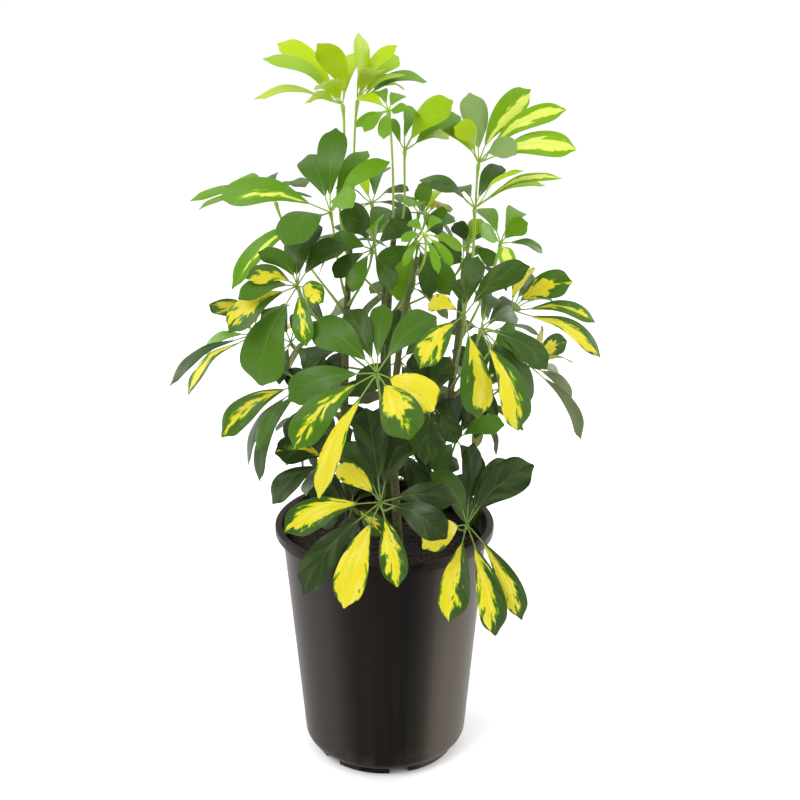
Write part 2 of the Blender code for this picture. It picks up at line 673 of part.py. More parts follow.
def away_from_pot(place):
    """The way that leads up and out over the pot's rim."""
    return Vector((place.x, place.y, 0)).normalized() * 0.6 + UP * 0.8


def away_from_soil(place):
    """The way that leads up from the soil, wherever the place is."""
    return UP


def turned(name, profile, sides, material):
    """A closed profile of (radius, height) points turned about the vertical axis."""
    shape = bmesh.new()
    points = [shape.verts.new((radius, 0, height)) for radius, height in profile]
    edges = [shape.edges.new((points[i - 1], points[i])) for i in range(len(points))]
    bmesh.ops.spin(
        shape, geom=points + edges, axis=UP, cent=(0, 0, 0), angle=math.tau,
        steps=sides, use_merge=True,
    )
    bmesh.ops.remove_doubles(shape, verts=shape.verts, dist=0.01 * MM)
    loose = [face for face in shape.faces if face.calc_area() < 1e-12]
    bmesh.ops.delete(shape, geom=loose, context="FACES")
    return finish(name, shape, material)


def finish(name, shape, material):
    """Makes an object of a bmesh, with its faces outward and its round parts smooth."""
    bmesh.ops.recalc_face_normals(shape, faces=shape.faces)
    mesh = bpy.data.meshes.new(name)
    shape.to_mesh(mesh)
    shape.free()
    mesh.shade_smooth()
    mesh.set_sharp_from_angle(angle=math.radians(35))
    mesh.materials.append(material)
    thing = bpy.data.objects.new(name, mesh)
    bpy.context.scene.collection.objects.link(thing)
    return thing


def from_shell(name, shell, material):
    """Makes an object of a skin."""
    shape = bmesh.new()
    points = [shape.verts.new(place) for place in shell.points]
    for triangle in shell.triangles:
        shape.faces.new([points[i] for i in triangle])
    return finish(name, shape, material)


def material(name, colour, roughness):
    """A Principled material of one colour."""
    made = bpy.data.materials.new(name)
    made.use_nodes = True
    shader = made.node_tree.nodes["Principled BSDF"]
    shader.inputs["Base Color"].default_value = (*colour, 1)
    shader.inputs["Roughness"].default_value = roughness
    shader.inputs["Metallic"].default_value = 0
    return made


def cutter(name, shape):
    """A hidden object that only cuts others."""
    mesh = bpy.data.meshes.new(name)
    shape.to_mesh(mesh)
    shape.free()
    thing = bpy.data.objects.new(name, mesh)
    thing.hide_render = True
    thing.display_type = "WIRE"
    bpy.context.scene.collection.objects.link(thing)
    return thing


def cut(thing, tool):
    """Takes a cutter's volume out of an object."""
    change = thing.modifiers.new("cut", "BOOLEAN")
    change.operation = "DIFFERENCE"
    change.solver = "EXACT"
    change.object = tool


def wall_radius(height):
    """The radius of the outside of the pot's body at a height."""
    share = (height - FOOT_HEIGHT) / (POT_HEIGHT - LIP_HEIGHT - FOOT_HEIGHT)
    return BASE_RADIUS + (TOP_RADIUS - BASE_RADIUS) * share


def inner_radius(height):
    """The radius of the inside of the pot's body at a height."""
    return wall_radius(height) - WALL


def corner(height, size, radius_at):
    """A rounded lower corner's section, from the flat out and up to the wall."""
    wall = radius_at(height + size)
    angles = [math.pi / 2 * k / CORNER_STEPS for k in range(CORNER_STEPS + 1)]
    return [(wall - size + size * math.sin(a), height + size * (1 - math.cos(a))) for a in angles]


def pot_profile():
    """The pot's section, from the middle of its floor out, up and over the lip, and back down."""
    floor = FOOT_HEIGHT + FLOOR
    return [
        (0, floor),
        *corner(floor, CORNER, inner_radius),
        (inner_radius(POT_HEIGHT - 2.5 * MM), POT_HEIGHT - 2.5 * MM),
        (TOP_RADIUS + 0.4 * MM, POT_HEIGHT),
        (RIM_RADIUS - ROUNDING, POT_HEIGHT),
        (RIM_RADIUS, POT_HEIGHT - ROUNDING),
        (RIM_RADIUS, POT_HEIGHT - LIP_HEIGHT),
        (RIM_RADIUS - LIP_WALL, POT_HEIGHT - LIP_HEIGHT),
        (RIM_RADIUS - LIP_WALL, POT_HEIGHT - 2.2 * MM),
        (TOP_RADIUS + 1.6 * MM, POT_HEIGHT - 2.2 * MM),
        (wall_radius(POT_HEIGHT - 4 * MM), POT_HEIGHT - 4 * MM),
        *reversed(corner(FOOT_HEIGHT, HEEL, wall_radius)[1:]),
        (FOOT_RADIUS, FOOT_HEIGHT + 0.4 * MM),
        (FOOT_RADIUS, 0),
        (FOOT_RADIUS - FOOT_WALL, 0),
        (FOOT_RADIUS - FOOT_WALL, FOOT_HEIGHT),
        (0, FOOT_HEIGHT),
    ]


def add_pot():
    """The pot, its foot notched all round and its floor drilled for drainage."""
    thing = turned("pot", pot_profile(), POT_SIDES, material("black_plastic", (0.02, 0.016, 0.013), 0.35))
    shape = bmesh.new()
    for k in range(NOTCHES):
        turn = Matrix.Rotation(FIRST_NOTCH + math.tau * k / NOTCHES, 3, "Z")
        made = bmesh.ops.create_cube(shape, size=1)["verts"]
        bmesh.ops.scale(shape, vec=(NOTCH_DEPTH, NOTCH_WIDTH, 2 * NOTCH_HEIGHT), verts=made)
        bmesh.ops.translate(shape, vec=(FOOT_RADIUS, 0, 0), verts=made)
        bmesh.ops.rotate(shape, cent=(0, 0, 0), matrix=turn, verts=made)
    for k in range(DRAINS):
        angle = math.tau * k / DRAINS
        made = bmesh.ops.create_cone(
            shape, cap_ends=True, segments=DRAIN_SIDES, radius1=DRAIN_RADIUS, radius2=DRAIN_RADIUS,
            depth=FLOOR * 3,
        )["verts"]
        place = Vector((math.cos(angle), math.sin(angle), 0)) * DRAIN_CIRCLE
        bmesh.ops.translate(shape, vec=place + UP * (FOOT_HEIGHT + FLOOR / 2), verts=made)
    cut(thing, cutter("drainage_cutter", shape))
    return thing


def soil_height(radius, angle):
    """The height of the soil's uneven top."""
    x, y = radius * math.cos(angle) / MM, radius * math.sin(angle) / MM
    waves = math.sin(x * 0.11 + 1.3) + math.sin(y * 0.13 + x * 0.05) + 0.6 * math.sin(x * 0.23 - y * 0.19)
    return SOIL_TOP + SOIL_BUMP * waves / 2.6


def add_soil():
    """The potting soil, a gap inside the pot's wall, with a hole where each stem goes in."""
    floor = FOOT_HEIGHT + FLOOR + GAP
    side = GAP * 1.6
    profile = [(0, floor)]
    profile += [(radius - side, height) for radius, height in corner(floor, CORNER, inner_radius)]
    profile += [(inner_radius(SOIL_TOP) - side, SOIL_TOP)]
    profile += [(radius, SOIL_TOP) for radius in SOIL_RINGS] + [(0, SOIL_TOP)]
    thing = turned("soil", profile, POT_SIDES, material("potting_soil", (0.018, 0.012, 0.009), 0.95))
    for point in thing.data.vertices:
        if point.co.z > SOIL_TOP - MM:
            angle = math.atan2(point.co.y, point.co.x)
            point.co.z = soil_height(math.hypot(point.co.x, point.co.y), angle)
    shape = bmesh.new()
    for name in STEMS:
        foot = Vector(STEMS[name][0][0]) * MM
        radius = stem_radius(name, foot.z) + GAP * 1.5
        made = bmesh.ops.create_cone(
            shape, cap_ends=True, segments=STEM_SIDES * 2, radius1=radius, radius2=radius,
            depth=2 * STEM_DEPTH + 2 * GAP,
        )["verts"]
        bmesh.ops.translate(shape, vec=foot, verts=made)
    cut(thing, cutter("stem_holes_cutter", shape))
    return thing


def leaf_material(leaf):
    """Young leaves at the top are brighter than the grown ones below."""
    high = min(max((leaf.hub[2] - 480) / 110, 0), 1)
    low = Vector((0.03, 0.075, 0.012))
    return material(leaf.name, low.lerp(Vector((0.3, 0.45, 0.01)), high), 0.35)


def solid_skin(thing):
    """The skin of an object as it was turned, with a search tree."""
    shell = Shell()
    shell.points = [point.co.copy() for point in thing.data.vertices]
    shell.triangles = [tuple(face.vertices) for face in thing.data.polygons]
    shell.parts = [HUB] * len(shell.triangles)
    return shell, shell.tree()


def main():
    """Builds the pot, the soil, the stems and the leaves."""
    for thing in list(bpy.data.objects):
        bpy.data.objects.remove(thing)
    pot = add_pot()
    soil = add_soil()
    bark = material("green_bark", (0.13, 0.12, 0.045), 0.6)
    fixed = []
    for name in STEMS:
        from_shell(name, stem_shell(name), bark)
        shell = stem_shell(name, EASE_SWELL)
        fixed.append(((shell, shell.tree()), away_from_stem(name)))
    fixed.append((solid_skin(pot), away_from_pot))
    fixed.append((solid_skin(soil), away_from_soil))
    growths = [Growth(leaf) for leaf in LEAVES]
    rounds = ease_apart(growths, fixed)
    print("leaves eased apart in", rounds + 1, "rounds")
    for growth in growths:
        from_shell(growth.leaf.name, leaf_shell(growth), leaf_material(growth.leaf))


if __name__ == "__main__":
    main()
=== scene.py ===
"""A variegated dwarf umbrella plant in a black nursery pot, dressed for view.

Metres, +Z up, origin on the ground under the pot's centre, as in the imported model. Each leaf is
one piece: a petiole that leaves its stem, a hub, and a whorl of leaflets on their own stalks.
"""

import json
import logging
import math
import random
from dataclasses import dataclass, field
from enum import Enum
from typing import Any, Sequence

import bmesh
import bpy
from mathutils import Matrix, Vector, noise


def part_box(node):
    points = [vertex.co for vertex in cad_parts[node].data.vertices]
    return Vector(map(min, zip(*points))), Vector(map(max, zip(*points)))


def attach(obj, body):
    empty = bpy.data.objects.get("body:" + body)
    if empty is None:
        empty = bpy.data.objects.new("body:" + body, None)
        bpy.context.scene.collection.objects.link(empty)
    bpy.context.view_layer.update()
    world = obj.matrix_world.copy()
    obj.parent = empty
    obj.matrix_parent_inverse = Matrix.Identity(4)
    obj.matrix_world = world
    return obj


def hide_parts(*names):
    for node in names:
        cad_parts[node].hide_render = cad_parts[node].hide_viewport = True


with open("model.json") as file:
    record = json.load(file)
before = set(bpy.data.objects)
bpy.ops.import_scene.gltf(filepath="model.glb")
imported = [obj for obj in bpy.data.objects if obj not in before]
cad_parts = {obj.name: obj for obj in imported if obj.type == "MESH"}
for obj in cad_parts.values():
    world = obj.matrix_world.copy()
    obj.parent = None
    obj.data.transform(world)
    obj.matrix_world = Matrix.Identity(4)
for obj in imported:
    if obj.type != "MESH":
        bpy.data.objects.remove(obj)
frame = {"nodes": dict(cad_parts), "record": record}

LOG = logging.getLogger("umbrella_plant")
MM = 0.001
UP = Vector((0, 0, 1))
TOUCH = 1e-6                # points closer than this are one


def linear(red: float, green: float, blue: float) -> tuple[float, float, float, float]:
    """A display colour as the linear colour that the nodes take.

    Args:
        red: Red on screen, 0 to 255.
        green: Green on screen, 0 to 255.
        blue: Blue on screen, 0 to 255.

    Returns:
        The linear colour, with an alpha of one.
    """
    parts = [value / 255 for value in (red, green, blue)]
    flat = [p / 12.92 if p <= 0.04045 else ((p + 0.055) / 1.055) ** 2.4 for p in parts]
    return flat[0], flat[1], flat[2], 1.0


def eased(value: float, low: float, high: float) -> float:
    """A smooth step.

    Args:
        value: What is looked at.
        low: Where the step starts.
        high: Where the step ends.

    Returns:
        0 below low, 1 above high, and a smooth rise between them.
    """
    share = min(max((value - low) / (high - low), 0.0), 1.0)
    return share * share * (3 - 2 * share)


def upright(heading: Vector, upper: Vector) -> tuple[Vector, Vector]:
    """The frame of a thing that runs along a heading.

    Args:
        heading: The way it runs, a unit vector.
        upper: Roughly the way its upper side looks.

    Returns:
        The way to its right-hand side, and the way its upper side looks.
    """
    side = heading.cross(upper).normalized()
    return side, side.cross(heading)


# ---------------------------------------------------------------------------------------------
# Finishes
# ---------------------------------------------------------------------------------------------


class Recipe:
    """The nodes of one material, laid one after another onto its Principled shader."""

    def __init__(self, name: str) -> None:
        """Starts a material with a shader and nothing else.

        Args:
            name: The material's name.
        """
        self.material = bpy.data.materials.new(name)
        self.material.use_nodes = True
        self.tree = self.material.node_tree
        self.tree.nodes.clear()
        self.shader = self.tree.nodes.new("ShaderNodeBsdfPrincipled")
        out = self.tree.nodes.new("ShaderNodeOutputMaterial")
        self.tree.links.new(self.shader.outputs["BSDF"], out.inputs["Surface"])

    def feed(self, socket: Any, value: Any) -> None:
        """Gives a socket its value, by a link where the value is another node's output.

        Args:
            socket: The input that takes the value.
            value: An output socket, a number, a vector or a colour.
        """
        if isinstance(value, bpy.types.NodeSocket):
            self.tree.links.new(value, socket)
        else:
            socket.default_value = value

    def reckon(self, operation: str, first: Any, second: Any = 0.0, third: Any = 0.0) -> Any:
        """One step of arithmetic.

        Args:
            operation: The Math node's operation.
            first: A number or an output.
            second: A number or an output.
            third: A number or an output, for the operations that take three.

        Returns:
            The result's output.
        """
        node = self.tree.nodes.new("ShaderNodeMath")
        node.operation = operation
        for socket, value in zip(node.inputs, (first, second, third)):
            self.feed(socket, value)
        return node.outputs[0]

    def times(self, first: Any, second: Any) -> Any:
        """The output of a product."""
        return self.reckon("MULTIPLY", first, second)

    def plus(self, first: Any, second: Any) -> Any:
        """The output of a sum."""
        return self.reckon("ADD", first, second)

    def less(self, first: Any, second: Any) -> Any:
        """The output of a difference."""
        return self.reckon("SUBTRACT", first, second)

    def weigh(self, first: Any, weight: Any, rest: Any) -> Any:
        """The output of a weighed number with another added to it."""
        return self.reckon("MULTIPLY_ADD", first, weight, rest)

    def step(self, value: Any, low: Any, high: Any, start: float = 0.0, end: float = 1.0) -> Any:
        """A smooth step of a value.

        Args:
            value: What is looked at.
            low: Where the step starts.
            high: Where the step ends.
            start: The result below low.
            end: The result above high.

        Returns:
            The result's output.
        """
        node = self.tree.nodes.new("ShaderNodeMapRange")
        node.interpolation_type = "SMOOTHSTEP"
        for name, entry in zip(
            ("Value", "From Min", "From Max", "To Min", "To Max"), (value, low, high, start, end)
        ):
            self.feed(node.inputs[name], entry)
        return node.outputs["Result"]

    def blend(self, share: Any, first: Any, second: Any) -> Any:
        """Two colours blended.

        Args:
            share: How much of the second there is.
            first: A colour or an output.
            second: A colour or an output.

        Returns:
            The colour's output.
        """
        node = self.tree.nodes.new("ShaderNodeMix")
        node.data_type = "RGBA"
        for number, value in ((0, share), (6, first), (7, second)):
            self.feed(node.inputs[number], value)
        return node.outputs[2]

    def ramp(self, value: Any, stops: Sequence[tuple[float, tuple]]) -> Any:
        """A colour looked up along a scale.

        Args:
            value: Where on the scale, 0 to 1.
            stops: Places on the scale and their colours.

        Returns:
            The colour's output.
        """
        node = self.tree.nodes.new("ShaderNodeValToRGB")
        elements = node.color_ramp.elements
        while len(elements) < len(stops):
            elements.new(1.0)
        for element, (place, colour) in zip(elements, stops):
            element.position = place
            element.color = colour
        self.feed(node.inputs["Fac"], value)
        return node.outputs["Color"]

    def parts(self, name: str) -> tuple[Any, Any, Any]:
        """The three numbers of an attribute of the mesh.

        Args:
            name: The attribute's name.

        Returns:
            The outputs of its three numbers.
        """
        node = self.tree.nodes.new("ShaderNodeAttribute")
        node.attribute_name = name
        return self.split(node.outputs["Vector"])

    def split(self, vector: Any) -> tuple[Any, Any, Any]:
        """Takes a vector apart.

        Args:
            vector: The vector's output.

        Returns:
            The outputs of its three numbers.
        """
        node = self.tree.nodes.new("ShaderNodeSeparateXYZ")
        self.feed(node.inputs[0], vector)
        return node.outputs[0], node.outputs[1], node.outputs[2]

    def vector(self, x: Any, y: Any, z: Any) -> Any:
        """Puts a vector together.

        Args:
            x: Its first number or output.
            y: Its second.
            z: Its third.

        Returns:
            The vector's output.
        """
        node = self.tree.nodes.new("ShaderNodeCombineXYZ")
        for socket, value in zip(node.inputs, (x, y, z)):
            self.feed(socket, value)
        return node.outputs[0]

    def place(self) -> Any:
        """The output of a point's place in the plant."""
        return self.tree.nodes.new("ShaderNodeTexCoord").outputs["Object"]

    def noise(self, where: Any, scale: float, detail: float = 2.0, rough: float = 0.5) -> Any:
        """Soft random variation.

        Args:
            where: The vector that it varies over.
            scale: How fine it is.
            detail: How many finer layers it has.
            rough: How strong the finer layers are.

        Returns:
            The output of its value, about 0.5 on average.
        """
        node = self.tree.nodes.new("ShaderNodeTexNoise")
        self.feed(node.inputs["Vector"], where)
        node.inputs["Scale"].default_value = scale
        node.inputs["Detail"].default_value = detail
        node.inputs["Roughness"].default_value = rough
        return node.outputs["Fac"]

    def cells(self, where: Any, scale: float) -> Any:
        """The distance to scattered points.

        Args:
            where: The vector that they are scattered over.
            scale: How close they are.

        Returns:
            The output of the distance.
        """
        node = self.tree.nodes.new("ShaderNodeTexVoronoi")
        self.feed(node.inputs["Vector"], where)
        node.inputs["Scale"].default_value = scale
        return node.outputs["Distance"]

    def relief(self, height: Any, distance: float, strength: float) -> None:
        """Raises and sinks the surface's shading.

        Args:
            height: The output of the height.
            distance: What a height of one stands for, in metres.
            strength: How much of it shows.
        """
        node = self.tree.nodes.new("ShaderNodeBump")
        node.inputs["Distance"].default_value = distance
        node.inputs["Strength"].default_value = strength
        self.feed(node.inputs["Height"], height)
        self.feed(self.shader.inputs["Normal"], node.outputs["Normal"])

    def finish(self, colour: Any, roughness: Any, specular: float = 0.5) -> bpy.types.Material:
        """Sets the shader's colour, roughness and gloss.

        Args:
            colour: The colour or its output.
            roughness: The roughness or its output.
            specular: The strength of the gloss.

        Returns:
            The material.
        """
        self.feed(self.shader.inputs["Base Color"], colour)
        self.feed(self.shader.inputs["Roughness"], roughness)
        self.shader.inputs["Specular IOR Level"].default_value = specular
        return self.material


@dataclass(frozen=True)
class BladeFinish:
    """The glossy skin of the leaflets: green by age, with yellow patches feathered by the veins.

    The mesh carries three numbers in "lie": the place along and across the blade, and whether the
    surface is the underside; three in "pattern": the patch's width, lean and reach; and three in
    "growth": the leaflet's own number, its age, and how much of it has dried.
    """

    greens: tuple = (
        (0.0, linear(166, 190, 2)),
        (0.2, linear(118, 160, 4)),
        (0.42, linear(74, 120, 8)),
        (0.72, linear(48, 77, 10)),
        (1.0, linear(28, 43, 7)),
    )
    # Grey-green of the sectors: partly the leaves' two-tone colour, partly painted sheen
    grey_green_and_sheen: tuple = linear(78, 100, 54)
    between: tuple = linear(104, 146, 16)
    yellow: tuple = linear(199, 187, 28)
    cream: tuple = linear(208, 198, 80)
    ochre: tuple = linear(184, 164, 30)
    young_yellow: tuple = linear(198, 208, 88)
    rib: tuple = linear(132, 158, 50)
    stain: tuple = linear(120, 108, 34)
    underside: tuple = linear(128, 146, 94)
    old_underside: tuple = linear(88, 96, 56)
    dried: tuple = linear(110, 92, 56)
    vein_slant: float = 0.3
    vein_pairs: float = 8.0
    feathers: float = 5.5
    flecks: float = 26.0
    rib_width: float = 0.016
    rib_flare: float = 0.04
    gloss: float = 0.19

    def material(self) -> bpy.types.Material:
        """Mixes the finish.

        Returns:
            The material of all the leaflets.
        """
        mix = Recipe("leaflet_skin")
        along, across, under = mix.parts("lie")
        seed, age, dry = mix.parts("growth")
        side = mix.reckon("ABSOLUTE", across)
        way = mix.reckon("SIGN", across)
        vein = mix.less(along, mix.times(side, self.vein_slant))
        lot = mix.weigh(seed, 53.0, mix.times(way, 3.7))
        feather = mix.noise(mix.vector(mix.times(vein, self.feathers), lot, mix.times(side, 2.4)), 1.0, 1.5)
        fleck = mix.noise(mix.vector(mix.times(vein, self.flecks), lot, mix.times(side, 7.0)), 1.0, 3.0)
        ragged = mix.step(age, 0.3, 0.65, 0.45, 1.0)
        patch = self.patch(mix, along, across, feather, fleck, ragged)
        green = self.green(mix, vein, side, lot, age)
        lime = mix.blend(mix.step(age, 0.1, 0.6), self.greens[1][1], self.between)
        colour = mix.blend(mix.step(patch, -0.2, -0.02, 0.0, 0.9), green, lime)
        tone = mix.noise(mix.vector(along, across, lot), 2.3, 3.0)
        pale = self.pale(mix, tone, lot, age)
        colour = mix.blend(mix.step(patch, -0.015, 0.05), colour, pale)
        rib = self.midrib(mix, along, side, age)
        colour = mix.blend(rib, colour, self.rib)
        stripe = mix.reckon("SINE", mix.times(vein, self.vein_pairs * math.tau))
        line = mix.step(stripe, 0.6, 1.0)
        colour = mix.blend(mix.times(line, 0.03), colour, self.rib)
        stained = mix.times(mix.step(fleck, 0.62, 0.72, 0.0, 0.6), mix.step(age, 0.5, 0.8))
        colour = mix.blend(mix.times(stained, mix.step(patch, 0.0, 0.3)), colour, self.stain)
        worn = mix.noise(mix.vector(mix.times(along, 9.0), across, lot), 1.6, 4.0, 0.6)
        dried = self.dryness(mix, along, side, dry, worn)
        colour = mix.blend(dried, colour, self.dried)
        matt = mix.blend(mix.step(age, 0.5, 1.0), self.underside, self.old_underside)
        below = mix.blend(0.66, colour, matt)
        colour = mix.blend(mix.step(under, 0.3, 0.7), colour, below)
        roughness = mix.step(tone, 0.3, 0.75, 0.34, 0.46)
        roughness = mix.reckon("MAXIMUM", roughness, mix.step(under, 0.3, 0.7, 0.0, 0.62))
        roughness = mix.reckon("MAXIMUM", roughness, mix.times(dried, 0.8))
        height = mix.weigh(line, 0.08, mix.times(rib, -0.7))
        height = mix.weigh(fleck, 0.3, height)
        height = mix.weigh(feather, 0.6, height)
        mix.relief(height, 0.5 * MM, 0.45)
        return mix.finish(colour, roughness, self.gloss)

    def midrib(self, mix: Recipe, along: Any, side: Any, age: Any) -> Any:
        """How much of the midrib's own colour shows: most near the stalk and on young leaflets.

        Args:
            mix: The recipe that is being laid.
            along: The share of the blade's length.
            side: The distance from the midrib, 0 to 1.
            age: The leaflet's age, 0 to 1.

        Returns:
            The output: zero beside the midrib.
        """
        shown = mix.weigh(mix.less(1.0, along), self.rib_flare, self.rib_width)
        firm = mix.times(mix.step(along, 0.1, 1.0, 0.75, 0.1), mix.step(age, 0.3, 0.9, 0.6, 0.3))
        return mix.step(side, mix.times(shown, 0.3), shown, firm, 0.0)

    def pale(self, mix: Recipe, tone: Any, lot: Any, age: Any) -> Any:
        """The patches' own colour: yellow to cream, ochre on a few halves, greener while young.

        Args:
            mix: The recipe that is being laid.
            tone: Soft variation over the blade.
            lot: A number that differs from blade half to blade half.
            age: The leaflet's age, 0 to 1.

        Returns:
            The colour's output.
        """
        ripe = mix.blend(mix.step(tone, 0.45, 0.75), self.yellow, self.cream)
        ripe = mix.blend(mix.step(mix.noise(lot, 0.9), 0.5, 0.7, 0.0, 0.5), ripe, self.ochre)
        return mix.blend(mix.step(age, 0.4, 0.62), self.young_yellow, ripe)

    def patch(
        self, mix: Recipe, along: Any, across: Any, feather: Any, fleck: Any, ragged: Any
    ) -> Any:
        """How far inside the yellow patch a point lies.

        Args:
            mix: The recipe that is being laid.
            along: The share of the blade's length.
            across: The place across the blade, -1 to 1.
            feather: Variation that keeps to the side veins.
            fleck: The same, finer.
            ragged: How uneven its edge is.

        Returns:
            The output: above zero inside the patch, below zero outside it.
        """
        cream, lean, reach = mix.parts("pattern")
        opened = mix.step(along, -0.02, 0.12)
        closed = mix.step(along, mix.less(reach, 0.22), mix.plus(reach, 0.05), 1.0, 0.0)
        width = mix.times(mix.times(cream, opened), closed)
        away = mix.reckon("ABSOLUTE", mix.less(across, lean))
        live = mix.reckon("MINIMUM", mix.times(cream, 3.5), 1.0)
        jag = mix.weigh(feather, 1.9, mix.weigh(fleck, 0.55, -1.225))
        jag = mix.times(jag, mix.times(live, ragged))
        plain = mix.step(cream, 0.0, 0.15, 0.37, 0.07)
        return mix.plus(mix.less(width, mix.plus(away, plain)), jag)

    def green(self, mix: Recipe, vein: Any, side: Any, lot: Any, age: Any) -> Any:
        """The green of a leaflet: darker with age, with paler grey-green sectors that are partly the
        leaves' two-tone and partly a painted sheen.

        Args:
            mix: The recipe that is being laid.
            vein: The coordinate that is the same all along a side vein.
            side: The distance from the midrib, 0 to 1.
            lot: A number that differs from blade half to blade half.
            age: The leaflet's age, 0 to 1.

        Returns:
            The colour's output.
        """
        sector = mix.noise(mix.vector(mix.times(vein, 4.0), lot, side), 0.9, 1.0)
        mottle = mix.noise(mix.vector(mix.times(vein, 20.0), lot, side), 2.2, 3.0)
        shade = mix.weigh(mottle, 0.12, mix.less(age, 0.06))
        base = mix.ramp(shade, self.greens)
        # Grey-green sectors: partly the leaves' own two-tone, partly painted sheen
        amount = mix.times(mix.step(sector, 0.42, 0.72), mix.step(age, 0.25, 0.8, 0.05, 0.34))
        return mix.blend(amount, base, self.grey_green_and_sheen)

    def dryness(self, mix: Recipe, along: Any, side: Any, dry: Any, worn: Any) -> Any:
        """Where a leaflet has dried to brown: at its tip and in small spots.

        Args:
            mix: The recipe that is being laid.
            along: The share of the blade's length.
            side: The distance from the midrib, 0 to 1.
            dry: How much of the leaflet has dried, 0 to 1.
            worn: Random variation.

        Returns:
            The output: 1 where the blade is brown.
        """
        far = mix.weigh(side, 0.08, along)
        far = mix.weigh(worn, 0.22, far)
        edge = mix.less(1.2, mix.times(dry, 0.34))
        tip = mix.step(far, edge, mix.plus(edge, 0.05))
        return mix.times(tip, mix.step(dry, 0.0, 0.05))


@dataclass(frozen=True)
class StalkFinish:
    """The skin of petioles, hubs and leaflet stalks: fresh green above, olive-brown lower down."""

    fresh: tuple = linear(142, 174, 44)
    green: tuple = linear(106, 134, 44)
    olive: tuple = linear(80, 88, 36)
    sheath: tuple = linear(104, 84, 48)

    def material(self) -> bpy.types.Material:
        """Mixes the finish.

        Returns:
            The material of all the stalks.
        """
        mix = Recipe("stalk_skin")
        along, _, _ = mix.parts("lie")
        _, age, _ = mix.parts("growth")
        x, y, z = mix.split(mix.place())
        drawn = mix.vector(mix.times(x, 4.0), mix.times(y, 4.0), z)
        grain = mix.noise(drawn, 160.0, 3.0)
        colour = mix.blend(mix.step(age, 0.1, 0.75), self.fresh, self.green)
        colour = mix.blend(mix.step(age, 0.8, 1.1, 0.0, 0.5), colour, self.olive)
        colour = mix.blend(mix.step(along, 0.5, 1.0, 0.0, 0.55), colour, self.olive)
        colour = mix.blend(mix.step(along, 0.93, 1.0, 0.0, 0.8), colour, self.sheath)
        colour = mix.blend(mix.step(grain, 0.4, 0.8, 0.0, 0.3), colour, self.olive)
        mix.relief(grain, 0.25 * MM, 0.5)
        return mix.finish(colour, mix.step(grain, 0.3, 0.7, 0.38, 0.5), 0.45)


@dataclass(frozen=True)
class BarkFinish:
    """Young bark: olive green with brown fissures, pale corky spots and darker leaf scars."""

    green: tuple = linear(74, 86, 32)
    brown: tuple = linear(70, 62, 34)
    deep: tuple = linear(38, 34, 20)
    cork: tuple = linear(104, 98, 66)

    def material(self) -> bpy.types.Material:
        """Mixes the finish.

        Returns:
            The material of all the stems.
        """
        mix = Recipe("stem_bark")
        scar, _, _ = mix.parts("lie")
        where = mix.place()
        x, y, z = mix.split(where)
        drawn = mix.vector(x, y, mix.times(z, 0.16))
        fissure = mix.noise(drawn, 900.0, 4.0, 0.65)
        broad = mix.noise(where, 60.0, 3.0)
        spot = mix.cells(where, 330.0)
        old = mix.step(z, 0.24, 0.46, 0.85, 0.2)
        colour = mix.blend(mix.times(old, mix.step(broad, 0.3, 0.6)), self.green, self.brown)
        colour = mix.blend(mix.step(fissure, 0.5, 0.72, 0.0, 0.75), colour, self.deep)
        colour = mix.blend(mix.step(spot, 0.0, 0.26, 0.7, 0.0), colour, self.cork)
        colour = mix.blend(mix.step(scar, 0.35, 0.8, 0.0, 0.4), colour, self.deep)
        height = mix.weigh(fissure, -0.8, mix.step(spot, 0.0, 0.3, 0.6, 0.0))
        mix.relief(height, 0.6 * MM, 0.8)
        return mix.finish(colour, mix.step(fissure, 0.3, 0.7, 0.6, 0.82), 0.35)


